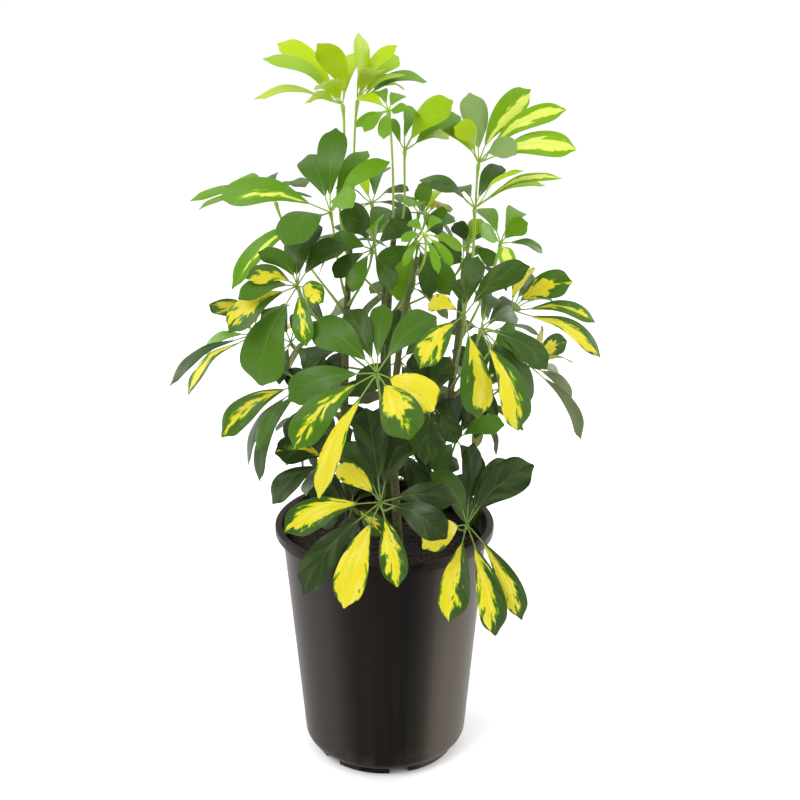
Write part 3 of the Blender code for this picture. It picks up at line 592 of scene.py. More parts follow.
@dataclass(frozen=True)
class PlasticFinish:
    """Satin black plastic, faintly drawn from top to bottom, with painted warm reflection bands and a
    painted grey sheen on its two flanks.
    """

    black: tuple = linear(10, 8, 6)
    # The colour of the painted warm reflection bands
    warm_reflection: tuple = linear(26, 18, 12)
    # Colours of the painted sheen: reflections painted onto the left and right flanks
    left_painted_sheen: tuple = linear(54, 48, 46)
    right_painted_sheen: tuple = linear(84, 78, 70)
    dust: tuple = linear(96, 84, 70)
    # The bearing of the front, which gets no painted sheen
    side_without_sheen: float = math.radians(-88)
    dusty_foot: float = 40 * MM
    under_lip: tuple = (216 * MM, 220 * MM)
    lip: tuple = (219 * MM, 227 * MM)
    gloss: float = 0.06

    def material(self) -> bpy.types.Material:
        """Mixes the finish.

        Returns:
            The pot's material.
        """
        mix = Recipe("pot_plastic_satin")
        where = mix.place()
        x, y, z = mix.split(where)
        bearing = mix.reckon("ARCTAN2", y, x)
        reflection_band = mix.noise(mix.vector(mix.times(bearing, 4.2), mix.times(z, 0.9), 0.0), 1.0, 3.0, 0.6)
        draw = mix.noise(mix.vector(mix.times(bearing, 60.0), mix.times(z, 6.0), 3.0), 1.0, 4.0, 0.6)
        scuff = mix.noise(where, 70.0, 5.0, 0.7)
        speck = mix.cells(where, 420.0)
        # Painted reflection: soft warm vertical bands stand for reflections of the studio on the satin
        # plastic
        colour = mix.blend(mix.step(reflection_band, 0.42, 0.62), self.black, self.warm_reflection)
        # Painted sheen: the flanks are lightened to grey, standing for reflections of the bright surround,
        # and less of it is painted on the lip
        painted_sheen = mix.blend(mix.step(x, -0.02, 0.03), self.left_painted_sheen, self.right_painted_sheen)
        swing = mix.reckon("COSINE", mix.less(bearing, self.side_without_sheen))
        swing = mix.weigh(mix.less(reflection_band, 0.5), 0.12, swing)
        flank = mix.step(swing, 0.78, 0.985, 0.92, 0.0)
        painted_sheen_share = mix.times(flank, mix.step(z, *self.under_lip, 1.0, 0.45))
        painted_sheen_share = mix.times(painted_sheen_share, mix.step(swing, -0.75, 0.05, 0.12, 1.0))
        colour = mix.blend(painted_sheen_share, colour, painted_sheen)
        low = mix.step(z, 0.0, self.dusty_foot, 0.3, 0.0)
        high = mix.step(z, *self.lip, 0.0, 0.12)
        dusty = mix.times(mix.plus(low, high), mix.step(scuff, 0.42, 0.7))
        colour = mix.blend(dusty, colour, self.dust)
        fine = mix.times(mix.step(speck, 0.0, 0.16, 0.2, 0.0), mix.step(scuff, 0.5, 0.62))
        colour = mix.blend(fine, colour, self.dust)
        roughness = mix.weigh(draw, 0.12, 0.2)
        roughness = mix.weigh(scuff, 0.12, roughness)
        roughness = mix.weigh(dusty, 0.35, roughness)
        mix.relief(mix.plus(draw, mix.times(scuff, 0.4)), 0.12 * MM, 0.4)
        return mix.finish(colour, roughness, self.gloss)


@dataclass(frozen=True)
class SoilFinish:
    """Dark peat, crumbly and damp, with paler fibres."""

    peat: tuple = linear(21, 16, 11)
    crumb: tuple = linear(44, 33, 22)
    fibre: tuple = linear(92, 72, 48)
    name: str = "potting_peat"

    def material(self) -> bpy.types.Material:
        """Mixes the finish.

        Returns:
            The soil's material.
        """
        mix = Recipe(self.name)
        where = mix.place()
        lump = mix.noise(where, 260.0, 5.0, 0.7)
        grain = mix.cells(where, 620.0)
        broad = mix.noise(where, 45.0, 3.0)
        x, y, z = mix.split(where)
        strand = mix.noise(mix.vector(mix.times(x, 0.25), y, z), 700.0, 3.0, 0.6)
        colour = mix.blend(mix.step(lump, 0.42, 0.68), self.peat, self.crumb)
        colour = mix.blend(mix.step(broad, 0.55, 0.75, 0.0, 0.4), colour, self.crumb)
        colour = mix.blend(mix.step(strand, 0.66, 0.74, 0.0, 0.6), colour, self.fibre)
        mix.relief(mix.less(lump, mix.times(grain, 0.7)), 1.2 * MM, 0.9)
        return mix.finish(colour, mix.step(lump, 0.3, 0.7, 0.95, 0.8), 0.3)


@dataclass(frozen=True)
class FloorFinish:
    """A plain, pale, matte floor."""

    pale: tuple = (0.95, 0.95, 0.948, 1.0)

    def material(self) -> bpy.types.Material:
        """Mixes the finish.

        Returns:
            The floor's material.
        """
        mix = Recipe("studio_floor")
        return mix.finish(self.pale, 0.9, 0.2)


# ---------------------------------------------------------------------------------------------
# Shared mesh work
# ---------------------------------------------------------------------------------------------


def posture(place: Vector, heading: Vector, upper: Vector, radius: float) -> Matrix:
    """The matrix that lays a unit circle as a ring of a tube.

    Args:
        place: The ring's centre.
        heading: The way that the tube runs there.
        upper: Roughly the way that its top looks.
        radius: The ring's radius.

    Returns:
        The matrix.
    """
    side, top = upright(heading, upper)
    columns = Matrix((side * radius, top * radius, heading)).transposed().to_4x4()
    return Matrix.Translation(place) @ columns


def grow_tube(
    shape: bmesh.types.BMesh, line: Sequence[Vector], radii: Sequence[float], upper: Vector, sides: int
) -> list[list[bmesh.types.BMVert]]:
    """Grows a closed tube along a line, ring after ring.

    Args:
        shape: The mesh that it is added to.
        line: The rings' centres.
        radii: The rings' radii.
        upper: Roughly the way that its top looks.
        sides: How many sides it has.

    Returns:
        The points of each ring.
    """
    postures = []
    for index, place in enumerate(line):
        ahead = line[min(index + 1, len(line) - 1)] - line[max(index - 1, 0)]
        postures.append(posture(place, ahead.normalized(), upper, radii[index]))
        upper = postures[-1].to_3x3().col[1].normalized()
    made = bmesh.ops.create_circle(shape, cap_ends=True, segments=sides, radius=1.0)["verts"]
    bmesh.ops.transform(shape, matrix=postures[0], verts=made)
    rings = [made]
    edges = [edge for edge in made[0].link_faces[0].edges]
    faces = [made[0].link_faces[0]]
    for before, after in zip(postures, postures[1:]):
        out = bmesh.ops.extrude_edge_only(shape, edges=edges)["geom"]
        made = [part for part in out if isinstance(part, bmesh.types.BMVert)]
        faces += [part for part in out if isinstance(part, bmesh.types.BMFace)]
        bmesh.ops.transform(shape, matrix=after @ before.inverted(), verts=made)
        ring = set(made)
        edges = [
            part for part in out
            if isinstance(part, bmesh.types.BMEdge) and ring.issuperset(part.verts)
        ]
        rings.append(made)
    faces += bmesh.ops.contextual_create(shape, geom=edges)["faces"]
    bmesh.ops.recalc_face_normals(shape, faces=faces)
    return rings


def turned(shape: bmesh.types.BMesh, section: Sequence[tuple[float, float]], steps: int) -> None:
    """Turns a section once around the upright axis.

    Args:
        shape: The mesh that it is added to.
        section: Its points, as distance from the axis and height.
        steps: How many steps a turn has.
    """
    line = [shape.verts.new((radius, 0, height)) for radius, height in section]
    edges = [shape.edges.new(pair) for pair in zip(line, line[1:])]
    bmesh.ops.spin(shape, geom=line + edges, cent=(0, 0, 0), axis=UP, angle=math.tau, steps=steps,
                   use_merge=True)
    bmesh.ops.remove_doubles(shape, verts=shape.verts, dist=TOUCH)


def finished(
    name: str, shape: bmesh.types.BMesh, finishes: Sequence[bpy.types.Material], smooth: bool = True
) -> bpy.types.Object:
    """Turns a mesh that is done into a piece.

    Args:
        name: The piece's name.
        shape: The mesh.
        finishes: Its materials.
        smooth: Whether its faces are shaded smoothly.

    Returns:
        The piece.
    """
    for face in shape.faces:
        face.smooth = smooth
    mesh = bpy.data.meshes.new(name)
    shape.to_mesh(mesh)
    shape.free()
    for finish in finishes:
        mesh.materials.append(finish)
    piece = bpy.data.objects.new(name, mesh)
    bpy.context.scene.collection.objects.link(piece)
    return piece


def rounded(piece: bpy.types.Object) -> None:
    """Gives a piece one level of subdivision, the same in view and render.

    Args:
        piece: The piece.
    """
    change = piece.modifiers.new("rounding", "SUBSURF")
    change.levels = 1
    change.render_levels = 1


def slots() -> dict[str, str]:
    """The record's material slot of each node."""
    return {part["node"]: part["material_slot"] for part in frame["record"]["subparts"]}


def settle(piece: bpy.types.Object, nodes: Sequence[str]) -> None:
    """Hangs a piece on the root body, hides the nodes that it replaces, and logs its number of faces.

    Args:
        piece: The piece.
        nodes: The nodes that it replaces.
    """
    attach(piece, "root")
    if nodes:
        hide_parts(*nodes)
    LOG.info("%s: %d faces", piece.name, len(piece.data.polygons))


# ---------------------------------------------------------------------------------------------
# Leaves
# ---------------------------------------------------------------------------------------------


class Look(Enum):
    """How a leaflet is coloured.

    A letter, its age, its yellow patch's width, lean and reach, and 1 where its paler underside
    is turned up.
    """

    DARK = ("d", 1.0, 0.0, 0.0, 1.0, 0)
    GREEN = ("g", 0.76, 0.0, 0.0, 1.0, 0)
    MIDDLE = ("m", 0.46, 0.0, 0.0, 1.0, 0)
    LIME = ("l", 0.06, 0.0, 0.0, 1.0, 0)
    PALE = ("p", 0.2, 0.0, 0.0, 1.0, 0)
    STREAK = ("s", 0.72, 0.3, 0.0, 0.9, 0)
    FLAME = ("f", 0.8, 0.6, 0.05, 0.97, 0)
    YELLOW = ("y", 0.78, 1.02, 0.0, 1.08, 0)
    BASE = ("h", 0.8, 0.85, 0.0, 0.68, 0)
    RIGHT = ("R", 0.84, 0.62, 0.4, 0.98, 0)
    LEFT = ("L", 0.84, 0.62, -0.4, 0.98, 0)
    SPOT = ("k", 0.96, 0.34, 0.2, 0.45, 0)
    YOUNG_STREAK = ("t", 0.5, 0.24, -0.3, 0.8, 0)
    YOUNG_FLAME = ("F", 0.34, 0.52, 0.0, 1.04, 0)
    YOUNG_HALF = ("Q", 0.4, 0.46, 0.42, 1.04, 0)
    TURNED = ("v", 0.5, 0.0, 0.0, 1.0, 1)
    TURNED_OLD = ("b", 1.0, 0.0, 0.0, 1.0, 1)

    @classmethod
    def of(cls, letter: str) -> "Look":
        """The look that a letter stands for."""
        return next(look for look in cls if look.value[0] == letter)


# The looks of each leaf's leaflets, clockwise from the top as seen from the front
LOOKS = {
    "leaf_top_left": "lllplll",
    "leaf_top_right": "lllppml",
    "leaf_crown_small": "mmmmmmlm",
    "leaf_crown_middle": "mpmmpm",
    "leaf_crown_right": "QvFFplv",
    "leaf_right_high": "dlFpggd",
    "leaf_bud_middle": "mmmmmmm",
    "leaf_middle_high": "mgddgdgd",
    "leaf_middle_back_high": "mlgymm",
    "leaf_middle_dark": "gdgdmgd",
    "leaf_far_left": "ggmmmg",
    "leaf_upper_left": "gmmmtgtg",
    "leaf_left_face": "dddfsgRgLg",
    "leaf_far_left_low": "gfgfdmf",
    "leaf_left_low": "dddddgsd",
    "leaf_left_lowest": "ddddkd",
    "leaf_front_middle": "ggyhysggd",
    "leaf_front_low": "dddfydfygd",
    "leaf_front_right": "dkdRRRyg",
    "leaf_right_inner": "ddLfyd",
    "leaf_right_front": "dddgdR",
    "leaf_far_right": "yhdsgRg",
    "leaf_right_upper": "mmgFmm",
    "leaf_right_shoot": "pgggld",
    "leaf_right_low": "yhybgbd",
    "leaf_right_lower": "ddmdgdd",
    "leaf_centre_low": "dddgdd",
    "leaf_centre": "gddddd",
    "leaf_inner_left": "dgddddd",
    "leaf_inner_left_low": "ddsdddd",
    "leaf_inner_right_low": "ddgdddd",
    "leaf_inner_middle": "gdddddd",
    "leaf_inner_right": "ddddddg",
    "leaf_left_behind": "ddgddgd",
    "leaf_back_left_high": "dfddgg",
    "leaf_back_high": "sRdgfdg",
    "leaf_back_right_high": "ggddddf",
    "leaf_back_left": "gsddfyd",
    "leaf_back_middle": "Rdgydgf",
    "leaf_back_right": "fdgsddd",
    "leaf_back_low": "yhddddg",
    "leaf_back_left_low": "dhdddgf",
    "leaf_back_right_low": "Lhddydg",
    "leaf_back_foot": "gddddfd",
    "leaf_back_crown": "gddmmgl",
}


@dataclass
class Leaflet:
    """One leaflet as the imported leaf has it."""

    hub: Vector
    tip: Vector
    centres: tuple[Vector, Vector, Vector]
    tops: tuple[Vector, Vector, Vector]
    half_width: float

    STATIONS = (0.22, 0.58, 0.85)
    SPREAD = 0.4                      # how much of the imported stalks' sideways spread is kept

    def bearing(self) -> float:
        """The angle clockwise from just before the top, as seen from the front."""
        way = self.tip - self.hub
        return (math.atan2(way.x, way.z) + 0.03) % math.tau

    def length(self) -> float:
        """The distance from the hub to the tip."""
        return (self.tip - self.hub).length

    def midrib(self, share: float) -> Vector:
        """A point of the midrib.

        Args:
            share: How far from the hub it lies, 0 to 1.

        Returns:
            The point.
        """
        reach = self.tip - self.hub
        arch = (self.centres[1] - self.hub - reach * self.STATIONS[1]) / (
            self.STATIONS[1] * (1 - self.STATIONS[1])
        )
        bow = self.hub + reach * share + arch * share * (1 - share)
        first = self.STATIONS[0]
        spread = self.centres[0] - (self.hub + reach * first + arch * first * (1 - first))
        return bow + spread * self.SPREAD * math.sin(math.pi * min(share / (2 * first), 1.0))

    def heading(self, share: float) -> Vector:
        """The way that the midrib runs at a share of its length."""
        small = 0.01
        return (self.midrib(share + small) - self.midrib(share - small)).normalized()

    def upper(self, share: float) -> Vector:
        """The way that the upper side looks.

        Args:
            share: The share of the length, 0 at the foot.

        Returns:
            A direction of length one.
        """
        low, middle, high = self.STATIONS
        if share < middle:
            part = min(max((share - low) / (middle - low), 0.0), 1.0)
            return self.tops[0].lerp(self.tops[1], part).normalized()
        part = min((share - middle) / (high - middle), 1.0)
        return self.tops[1].lerp(self.tops[2], part).normalized()


@dataclass
class LeafPlan:
    """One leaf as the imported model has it: its hub, leaflets and petiole."""

    name: str
    hub: Vector
    leaflets: list[Leaflet]
    petiole: list[Vector]


class LeafReader:
    """Reads a packed leaf back from the points of its node."""

    WINDOW = Vector((10, -1230, 780)) * MM    # where the light comes from that the leaves turn to
    BACK = 60 * MM                            # leaves with hubs beyond this look up instead
    EDGE_ON = 0.15                            # leaflets turned so little to the light look up too
    RING = 4                                  # points of a packed leaflet's ring
    RINGS = 4                                 # rings of a packed leaflet or petiole

    def __init__(self, name: str) -> None:
        """Merges a copy of the node's mesh.

        Args:
            name: The node's name.
        """
        self.name = name
        self.shape = bmesh.new()
        self.shape.from_mesh(frame["nodes"][name].data)
        bmesh.ops.remove_doubles(self.shape, verts=self.shape.verts, dist=TOUCH)

    @staticmethod
    def levels(start: bmesh.types.BMVert, count: int) -> list[list[bmesh.types.BMVert]]:
        """The points that lie one, two and more edges from a start.

        Args:
            start: The first point.
            count: How many edges to go.

        Returns:
            The points of each level, the start's own first.
        """
        found = [[start]]
        seen = {start}
        for _ in range(count):
            fresh = dict.fromkeys(
                edge.other_vert(vert) for vert in found[-1] for edge in vert.link_edges
                if edge.other_vert(vert) not in seen
            )
            found.append(list(fresh))
            seen |= set(fresh)
        return found

    @staticmethod
    def middle(ring: Sequence[bmesh.types.BMVert]) -> Vector:
        """The mean of a ring's points."""
        return sum((vert.co for vert in ring), Vector()) / len(ring)

    def section(self, ring: Sequence[bmesh.types.BMVert]) -> tuple[Vector, Vector, float]:
        """Reads one ring of a leaflet.

        Args:
            ring: Its four points: two edges, the top and the bottom.

        Returns:
            The midrib's place, the way that the upper side looks, and half the width.
        """
        pairs = [(a, b) for i, a in enumerate(ring) for b in ring[i + 1:]]
        left, right = max(pairs, key=lambda pair: (pair[0].co - pair[1].co).length)
        rest = [vert for vert in ring if vert not in (left, right)]
        centre = (rest[0].co + rest[1].co) / 2
        top = (rest[0].co - rest[1].co).normalized()
        lifted = (left.co + right.co) / 2 - centre
        if top.dot(lifted) < 0:
            top = -top
        return centre, top, (left.co - right.co).length / 2

    def leaflet(self, rings: Sequence[Sequence[bmesh.types.BMVert]], hub: Vector) -> Leaflet:
        """Reads one leaflet.

        Args:
            rings: Its levels from the tip to the hub.
            hub: The leaf's hub.

        Returns:
            The leaflet.
        """
        sections = [self.section(ring) for ring in (rings[3], rings[2], rings[1])]
        centres = tuple(centre for centre, _, _ in sections)
        _, upper, half_width = sections[1]
        facing = upper.dot((self.WINDOW - centres[1]).normalized())
        if hub.y > self.BACK or abs(facing) < self.EDGE_ON:
            facing = upper.z
        if facing < 0:
            upper = -upper
        tops = tuple(top if top.dot(upper) > 0 else -top for _, top, _ in sections)
        return Leaflet(hub, rings[0][0].co.copy(), centres, tops, half_width)

    def read(self) -> LeafPlan:
        """Reads the whole leaf.

        Returns:
            The leaf's plan, its leaflets clockwise from the top as seen from the front.
        """
        tips, end = [], None
        for vert in self.shape.verts:
            levels = self.levels(vert, self.RINGS + 1)
            sizes = [len(level) for level in levels[1:]]
            if sizes[:-1] == [self.RING] * self.RINGS:
                tips.append(levels)
            elif sizes[0] > self.RING and sizes == [sizes[0]] * self.RINGS + [2 * sizes[0]]:
                end = levels
        hub_ring = end[-1]
        crown = max(
            dict.fromkeys(edge.other_vert(vert) for vert in hub_ring for edge in vert.link_edges),
            key=lambda vert: sum(1 for e in vert.link_edges if e.other_vert(vert) in hub_ring),
        )
        hub = crown.co.copy()
        line = [end[0][0].co.copy()] + [self.middle(ring) for ring in end[1:-1]]
        leaflets = sorted((self.leaflet(tip, hub) for tip in tips), key=Leaflet.bearing)
        self.shape.free()
        return LeafPlan(self.name, hub, leaflets, line)


@dataclass
class Habit:
    """How one leaflet is shaped beyond its plan."""

    seed: float
    fold: float
    curl: float
    wave: float
    phase: float
    waves: float
    droop: float
    twist: float
    blunt: float
    broad: float
    dry: float

    @classmethod
    def of(cls, leaf: str, number: int) -> "Habit":
        """The habit of one leaflet, the same in every run.

        Args:
            leaf: The leaf's name.
            number: The leaflet's number.

        Returns:
            The habit.
        """
        dice = random.Random(f"{leaf} {number}")
        return cls(
            seed=dice.random(),
            fold=dice.uniform(0.10, 0.30),
            curl=dice.uniform(0.04, 0.20),
            wave=dice.uniform(0.02, 0.07),
            phase=dice.uniform(0, math.tau),
            waves=dice.uniform(1.2, 2.4),
            droop=dice.uniform(0.0, 0.05),
            twist=dice.uniform(-0.16, 0.16),
            blunt=dice.uniform(0.16, 0.3),
            broad=dice.uniform(0.94, 1.07),
            dry=dice.choice((0.0, 0.0, 0.0, 0.0, 0.0, 0.0, 0.2, 0.45)) * dice.random(),
        )


@dataclass
class Foliage:
    """One whole leaf: blades, leaflet stalks, hub and petiole."""

    plan: LeafPlan
    looks: str
    slot: str
    blade: bpy.types.Material
    stalk: bpy.types.Material
    blade_start: float = 0.2
    across: int = 4
    rows: int = 8
    crowding: float = 1.35
    rounding: float = 0.05
    last_heading: float = 0.97
    crisp: float = 1.1
    thickness: float = 0.5 * MM
    stalk_radius: float = 0.75 * MM
    stalk_sides: int = 6
    petiole_radius: float = 1.12 * MM
    petiole_sides: int = 8
    shape: bmesh.types.BMesh = field(default_factory=bmesh.new)

    def __post_init__(self) -> None:
        """Adds the layers that the finishes read."""
        layers = self.shape.verts.layers.float_vector
        self.lie = layers.new("lie")
        self.pattern = layers.new("pattern")
        self.growth = layers.new("growth")
        self.crease = self.shape.edges.layers.float.new("crease_edge")

    def width(self, leaflet: Leaflet, habit: Habit, share: float) -> float:
        """Half a blade's width: narrow at the base, broadest past the middle, blunt at the tip.

        Args:
            leaflet: The leaflet.
            habit: Its habit.
            share: The share of the blade's length.

        Returns:
            Half the width in metres.
        """
        full = 2.59 * share ** 1.05 * (1 - share) ** 0.48 if share < 1 else 0.0
        full = max(full, habit.blunt * eased(share, 0.5, 1.0))
        return max(leaflet.half_width * habit.broad * full, self.stalk_radius)

    def add_blade(self, leaflet: Leaflet, habit: Habit, look: Look, youth: float) -> None:
        """Lays one blade: a grid bent onto its midrib.

        Args:
            leaflet: The leaflet.
            habit: Its habit.
            look: Its look.
            youth: How much younger it is than its look says.
        """
        made = bmesh.ops.create_grid(
            self.shape, x_segments=self.across, y_segments=self.rows, size=1.0
        )["verts"]
        _, age, cream, lean, reach, turned = look.value
        length = leaflet.length()
        for vert in made:
            across, row = vert.co.x, (vert.co.y + 1) / 2
            along = 1 - (1 - row) ** self.crowding
            wide = self.width(leaflet, habit, along)
            back = self.rounding * across * across * eased(along, 0.8, 1.0)
            share = self.blade_start + (1 - self.blade_start) * (along - back)
            heading = leaflet.heading(min(share, self.last_heading))
            side, top = upright(heading, leaflet.upper(share))
            turn = Matrix.Rotation(habit.twist * along, 3, heading)
            side, top = turn @ side, turn @ top
            far = abs(across)
            fold = habit.fold * (1 - 0.45 * along)
            lift = wide * (fold * far - habit.curl * far * far)
            lift += wide * habit.wave * 2 * far * far * math.sin(
                habit.phase + habit.waves * math.tau * along + (0.9 if across > 0 else 0)
            )
            lift -= habit.droop * length * along ** 3
            vert.co = leaflet.midrib(share) + side * across * wide + top * lift
            vert[self.lie] = Vector((along, across, turned))
            vert[self.pattern] = Vector((cream, lean, reach))
            vert[self.growth] = Vector((habit.seed, age * (1 - youth), habit.dry * (age > 0.6)))

    def thicken(self) -> None:
        """Gives the blades their thickness, and keeps their outlines crisp."""
        above = set(self.shape.verts)
        self.shape.normal_update()
        bmesh.ops.solidify(self.shape, geom=self.shape.faces[:], thickness=self.thickness)
        self.shape.normal_update()
        for vert in self.shape.verts:
            if vert not in above:
                vert[self.lie] = Vector((vert[self.lie].x, vert[self.lie].y, 1))
        for edge in self.shape.edges:
            if len(edge.link_faces) != 2:
                continue
            first, second = edge.link_faces
            level = (edge.verts[0] in above) == (edge.verts[1] in above)
            if level and first.normal.angle(second.normal, 0) > self.crisp:
                edge[self.crease] = 1.0
                edge.smooth = False

    def tube(
        self, line: Sequence[Vector], radii: Sequence[float], lies: Sequence[float], upper: Vector,
        sides: int, age: float,
    ) -> None:
        """Grows a stalk and notes what its finish reads.

        Args:
            line: The rings' centres.
            radii: The rings' radii.
            lies: The rings' places along the whole stalk, 0 at the hub and 1 at the stem.
            upper: Roughly the way that its top looks.
            sides: How many sides it has.
            age: The age of its skin.
        """
        rings = grow_tube(self.shape, line, radii, upper, sides)
        for ring, place in zip(rings, lies):
            for vert in ring:
                vert[self.lie] = Vector((place, 0, 0))
                vert[self.growth] = Vector((0, age, 0))
        for face in dict.fromkeys(f for ring in rings for vert in ring for f in vert.link_faces):
            face.material_index = 1

    def add_stalks(self, age: float) -> None:
        """Adds the leaflets' own stalks, which run on under the blades as their midribs.

        Args:
            age: The age of their skin.
        """
        shares = (0.0, 0.08, 0.16, 0.24, 0.4, 0.6)
        radii = [self.stalk_radius * scale for scale in (1.25, 1.0, 0.92, 0.9, 0.62, 0.3)]
        for leaflet in self.plan.leaflets:
            line = [
                leaflet.midrib(share)
                - leaflet.upper(share) * max(radius * 0.7, 0.3 * MM) * (share > self.blade_start)
                for share, radius in zip(shares, radii)
            ]
            self.tube(line, radii, [0.0] * len(line), leaflet.upper(0.1), self.stalk_sides, age)

    def petiole_point(self, share: float) -> Vector:
        """A point of the petiole's line.

        Args:
            share: 0 at the hub, 1 at the stem.

        Returns:
            The point.
        """
        hub, end = self.plan.hub, self.plan.petiole[0]
        first, second = self.controls
        rest = 1 - share
        bend = first * 3 * rest * rest * share
        return hub * rest ** 3 + bend + second * 3 * rest * share ** 2 + end * share ** 3

    def fit_petiole(self) -> None:
        """Finds the curve through the petiole's rings."""
        hub, end = self.plan.hub, self.plan.petiole[0]
        rows = []
        for share, place in ((0.62, self.plan.petiole[2]), (0.3, self.plan.petiole[3])):
            rest = 1 - share
            rows.append((3 * rest * rest * share, 3 * rest * share ** 2,
                         place - hub * rest ** 3 - end * share ** 3))
        (a, b, p), (c, d, q) = rows
        whole = a * d - b * c
        self.controls = ((p * d - q * b) / whole, (q * a - p * c) / whole)

    def add_petiole(self, age: float) -> None:
        """Adds the petiole: a knob at the hub, a slim stalk, and a swollen foot on the stem.

        Args:
            age: The age of its skin.
        """
        self.fit_petiole()
        shares = [0.0, 0.012, 0.03, 0.07, 0.14, 0.22, 0.32, 0.42, 0.52, 0.62, 0.72, 0.82, 0.9, 0.96, 1.0]
        scales = [1.2, 2.0, 1.9, 1.25, 1.0, 0.96, 0.95, 0.96, 1.0, 1.04, 1.1, 1.2, 1.4, 1.75, 2.0]
        line = [self.petiole_point(share) for share in shares]
        line[0] = line[1] + (line[0] - line[1]).normalized() * 1.2 * MM
        last = line[-1] + (line[-1] - line[-2]).normalized() * 2.2 * MM
        line.append(last)
        radii = [self.petiole_radius * scale for scale in scales + [1.7]]
        upper = self.plan.petiole[0] - self.plan.hub
        upper = UP if abs(upper.normalized().z) < 0.95 else Vector((0, -1, 0))
        self.tube(line, radii, shares + [1.0], upper, self.petiole_sides, age)

    def build(self) -> bpy.types.Object:
        """Builds the leaf.

        Returns:
            The piece.
        """
        youth = 0.24 * eased(self.plan.hub.z, 0.26, 0.5)
        looks = [Look.of(letter) for letter in self.looks]
        for number, (leaflet, look) in enumerate(zip(self.plan.leaflets, looks)):
            self.add_blade(leaflet, Habit.of(self.plan.name, number), look, youth)
        self.thicken()
        age = sum(look.value[1] for look in looks) / len(looks) - youth
        self.add_stalks(age)
        self.add_petiole(age)
        name = self.plan.name.replace("leaf_", "foliage_")
        piece = finished(name, self.shape, (self.blade, self.stalk))
        rounded(piece)
        settle(piece, (self.plan.name,))
        return piece


# ---------------------------------------------------------------------------------------------
# Stems, soil and pot
# ---------------------------------------------------------------------------------------------


def through(line: Sequence[Vector], index: int, share: float) -> Vector:
    """A point of the smooth curve through a line's points.

    Args:
        line: The points.
        index: The point that the stretch starts at.
        share: How far along the stretch it lies, 0 to 1.

    Returns:
        The point.
    """
    start, end = line[index], line[index + 1]
    before, after = line[max(index - 1, 0)], line[min(index + 2, len(line) - 1)]
    return 0.5 * (
        2 * start + (end - before) * share + (2 * before - 5 * start + 4 * end - after) * share * share
        + (3 * start - before - 3 * end + after) * share ** 3
    )


@dataclass
class Stem:
    """One woody stem, with leaf scars along it."""

    node: str
    slot: str
    bark: bpy.types.Material
    packed_sides: int = 8
    sides: int = 14
    spacing: float = 2.6 * MM
    first_scar: tuple = (6, 14)
    next_scar: tuple = (9, 19)
    scar_swell: float = 0.05
    lumps: float = 0.07
    furrow: float = 0.3 * MM

    def rings(self) -> tuple[list[Vector], list[float]]:
        """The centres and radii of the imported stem's rings, from its tip down."""
        reader = LeafReader(self.node)
        tip = max(reader.shape.verts, key=lambda vert: vert.co.z)
        levels = reader.levels(tip, len(reader.shape.verts) // self.packed_sides)
        centres, radii = [tip.co.copy()], [0.0]
        for ring in levels[1:]:
            if len(ring) == self.packed_sides:
                middle = reader.middle(ring)
                centres.append(middle)
                radii.append(max((vert.co - middle).length for vert in ring))
        reader.shape.free()
        radii[0] = radii[1] * 0.9
        return centres, radii

    def build(self) -> bpy.types.Object:
        """Builds the stem.

        Returns:
            The piece.
        """
        centres, radii = self.rings()
        dice = random.Random(self.node)
        line, sizes, scars = [], [], []
        scar = dice.uniform(*self.first_scar) * MM
        gone = 0.0
        for index, (start, end) in enumerate(zip(centres, centres[1:])):
            stretch = (start - end).length
            count = max(round(stretch / self.spacing), 1)
            for step in range(count):
                share = step / count
                place = through(centres, index, share)
                gone += stretch / count
                scarred = gone > scar
                if scarred:
                    scar = gone + dice.uniform(*self.next_scar) * MM
                line.append(place)
                scars.append(float(scarred))
                radius = radii[index] + (radii[index + 1] - radii[index]) * share
                sizes.append(radius * (1 + noise.noise(place * 90) * self.lumps))
        sizes = [size * (1 + self.scar_swell * scarred) for size, scarred in zip(sizes, scars)]
        shape = bmesh.new()
        shape.verts.layers.float_vector.new("lie")
        lie = shape.verts.layers.float_vector.get("lie")
        for ring, scarred in zip(grow_tube(shape, line, sizes, Vector((0, -1, 0)), self.sides), scars):
            for vert in ring:
                vert[lie] = Vector((scarred, 0, 0))
                outward = Vector((vert.normal.x, vert.normal.y, 0))
                vert.co += outward * noise.noise(vert.co * 420) * self.furrow
        piece = finished(self.node.replace("stem_", "woody_stem_"), shape, (self.bark,))
        rounded(piece)
        settle(piece, (self.node,))
        return piece


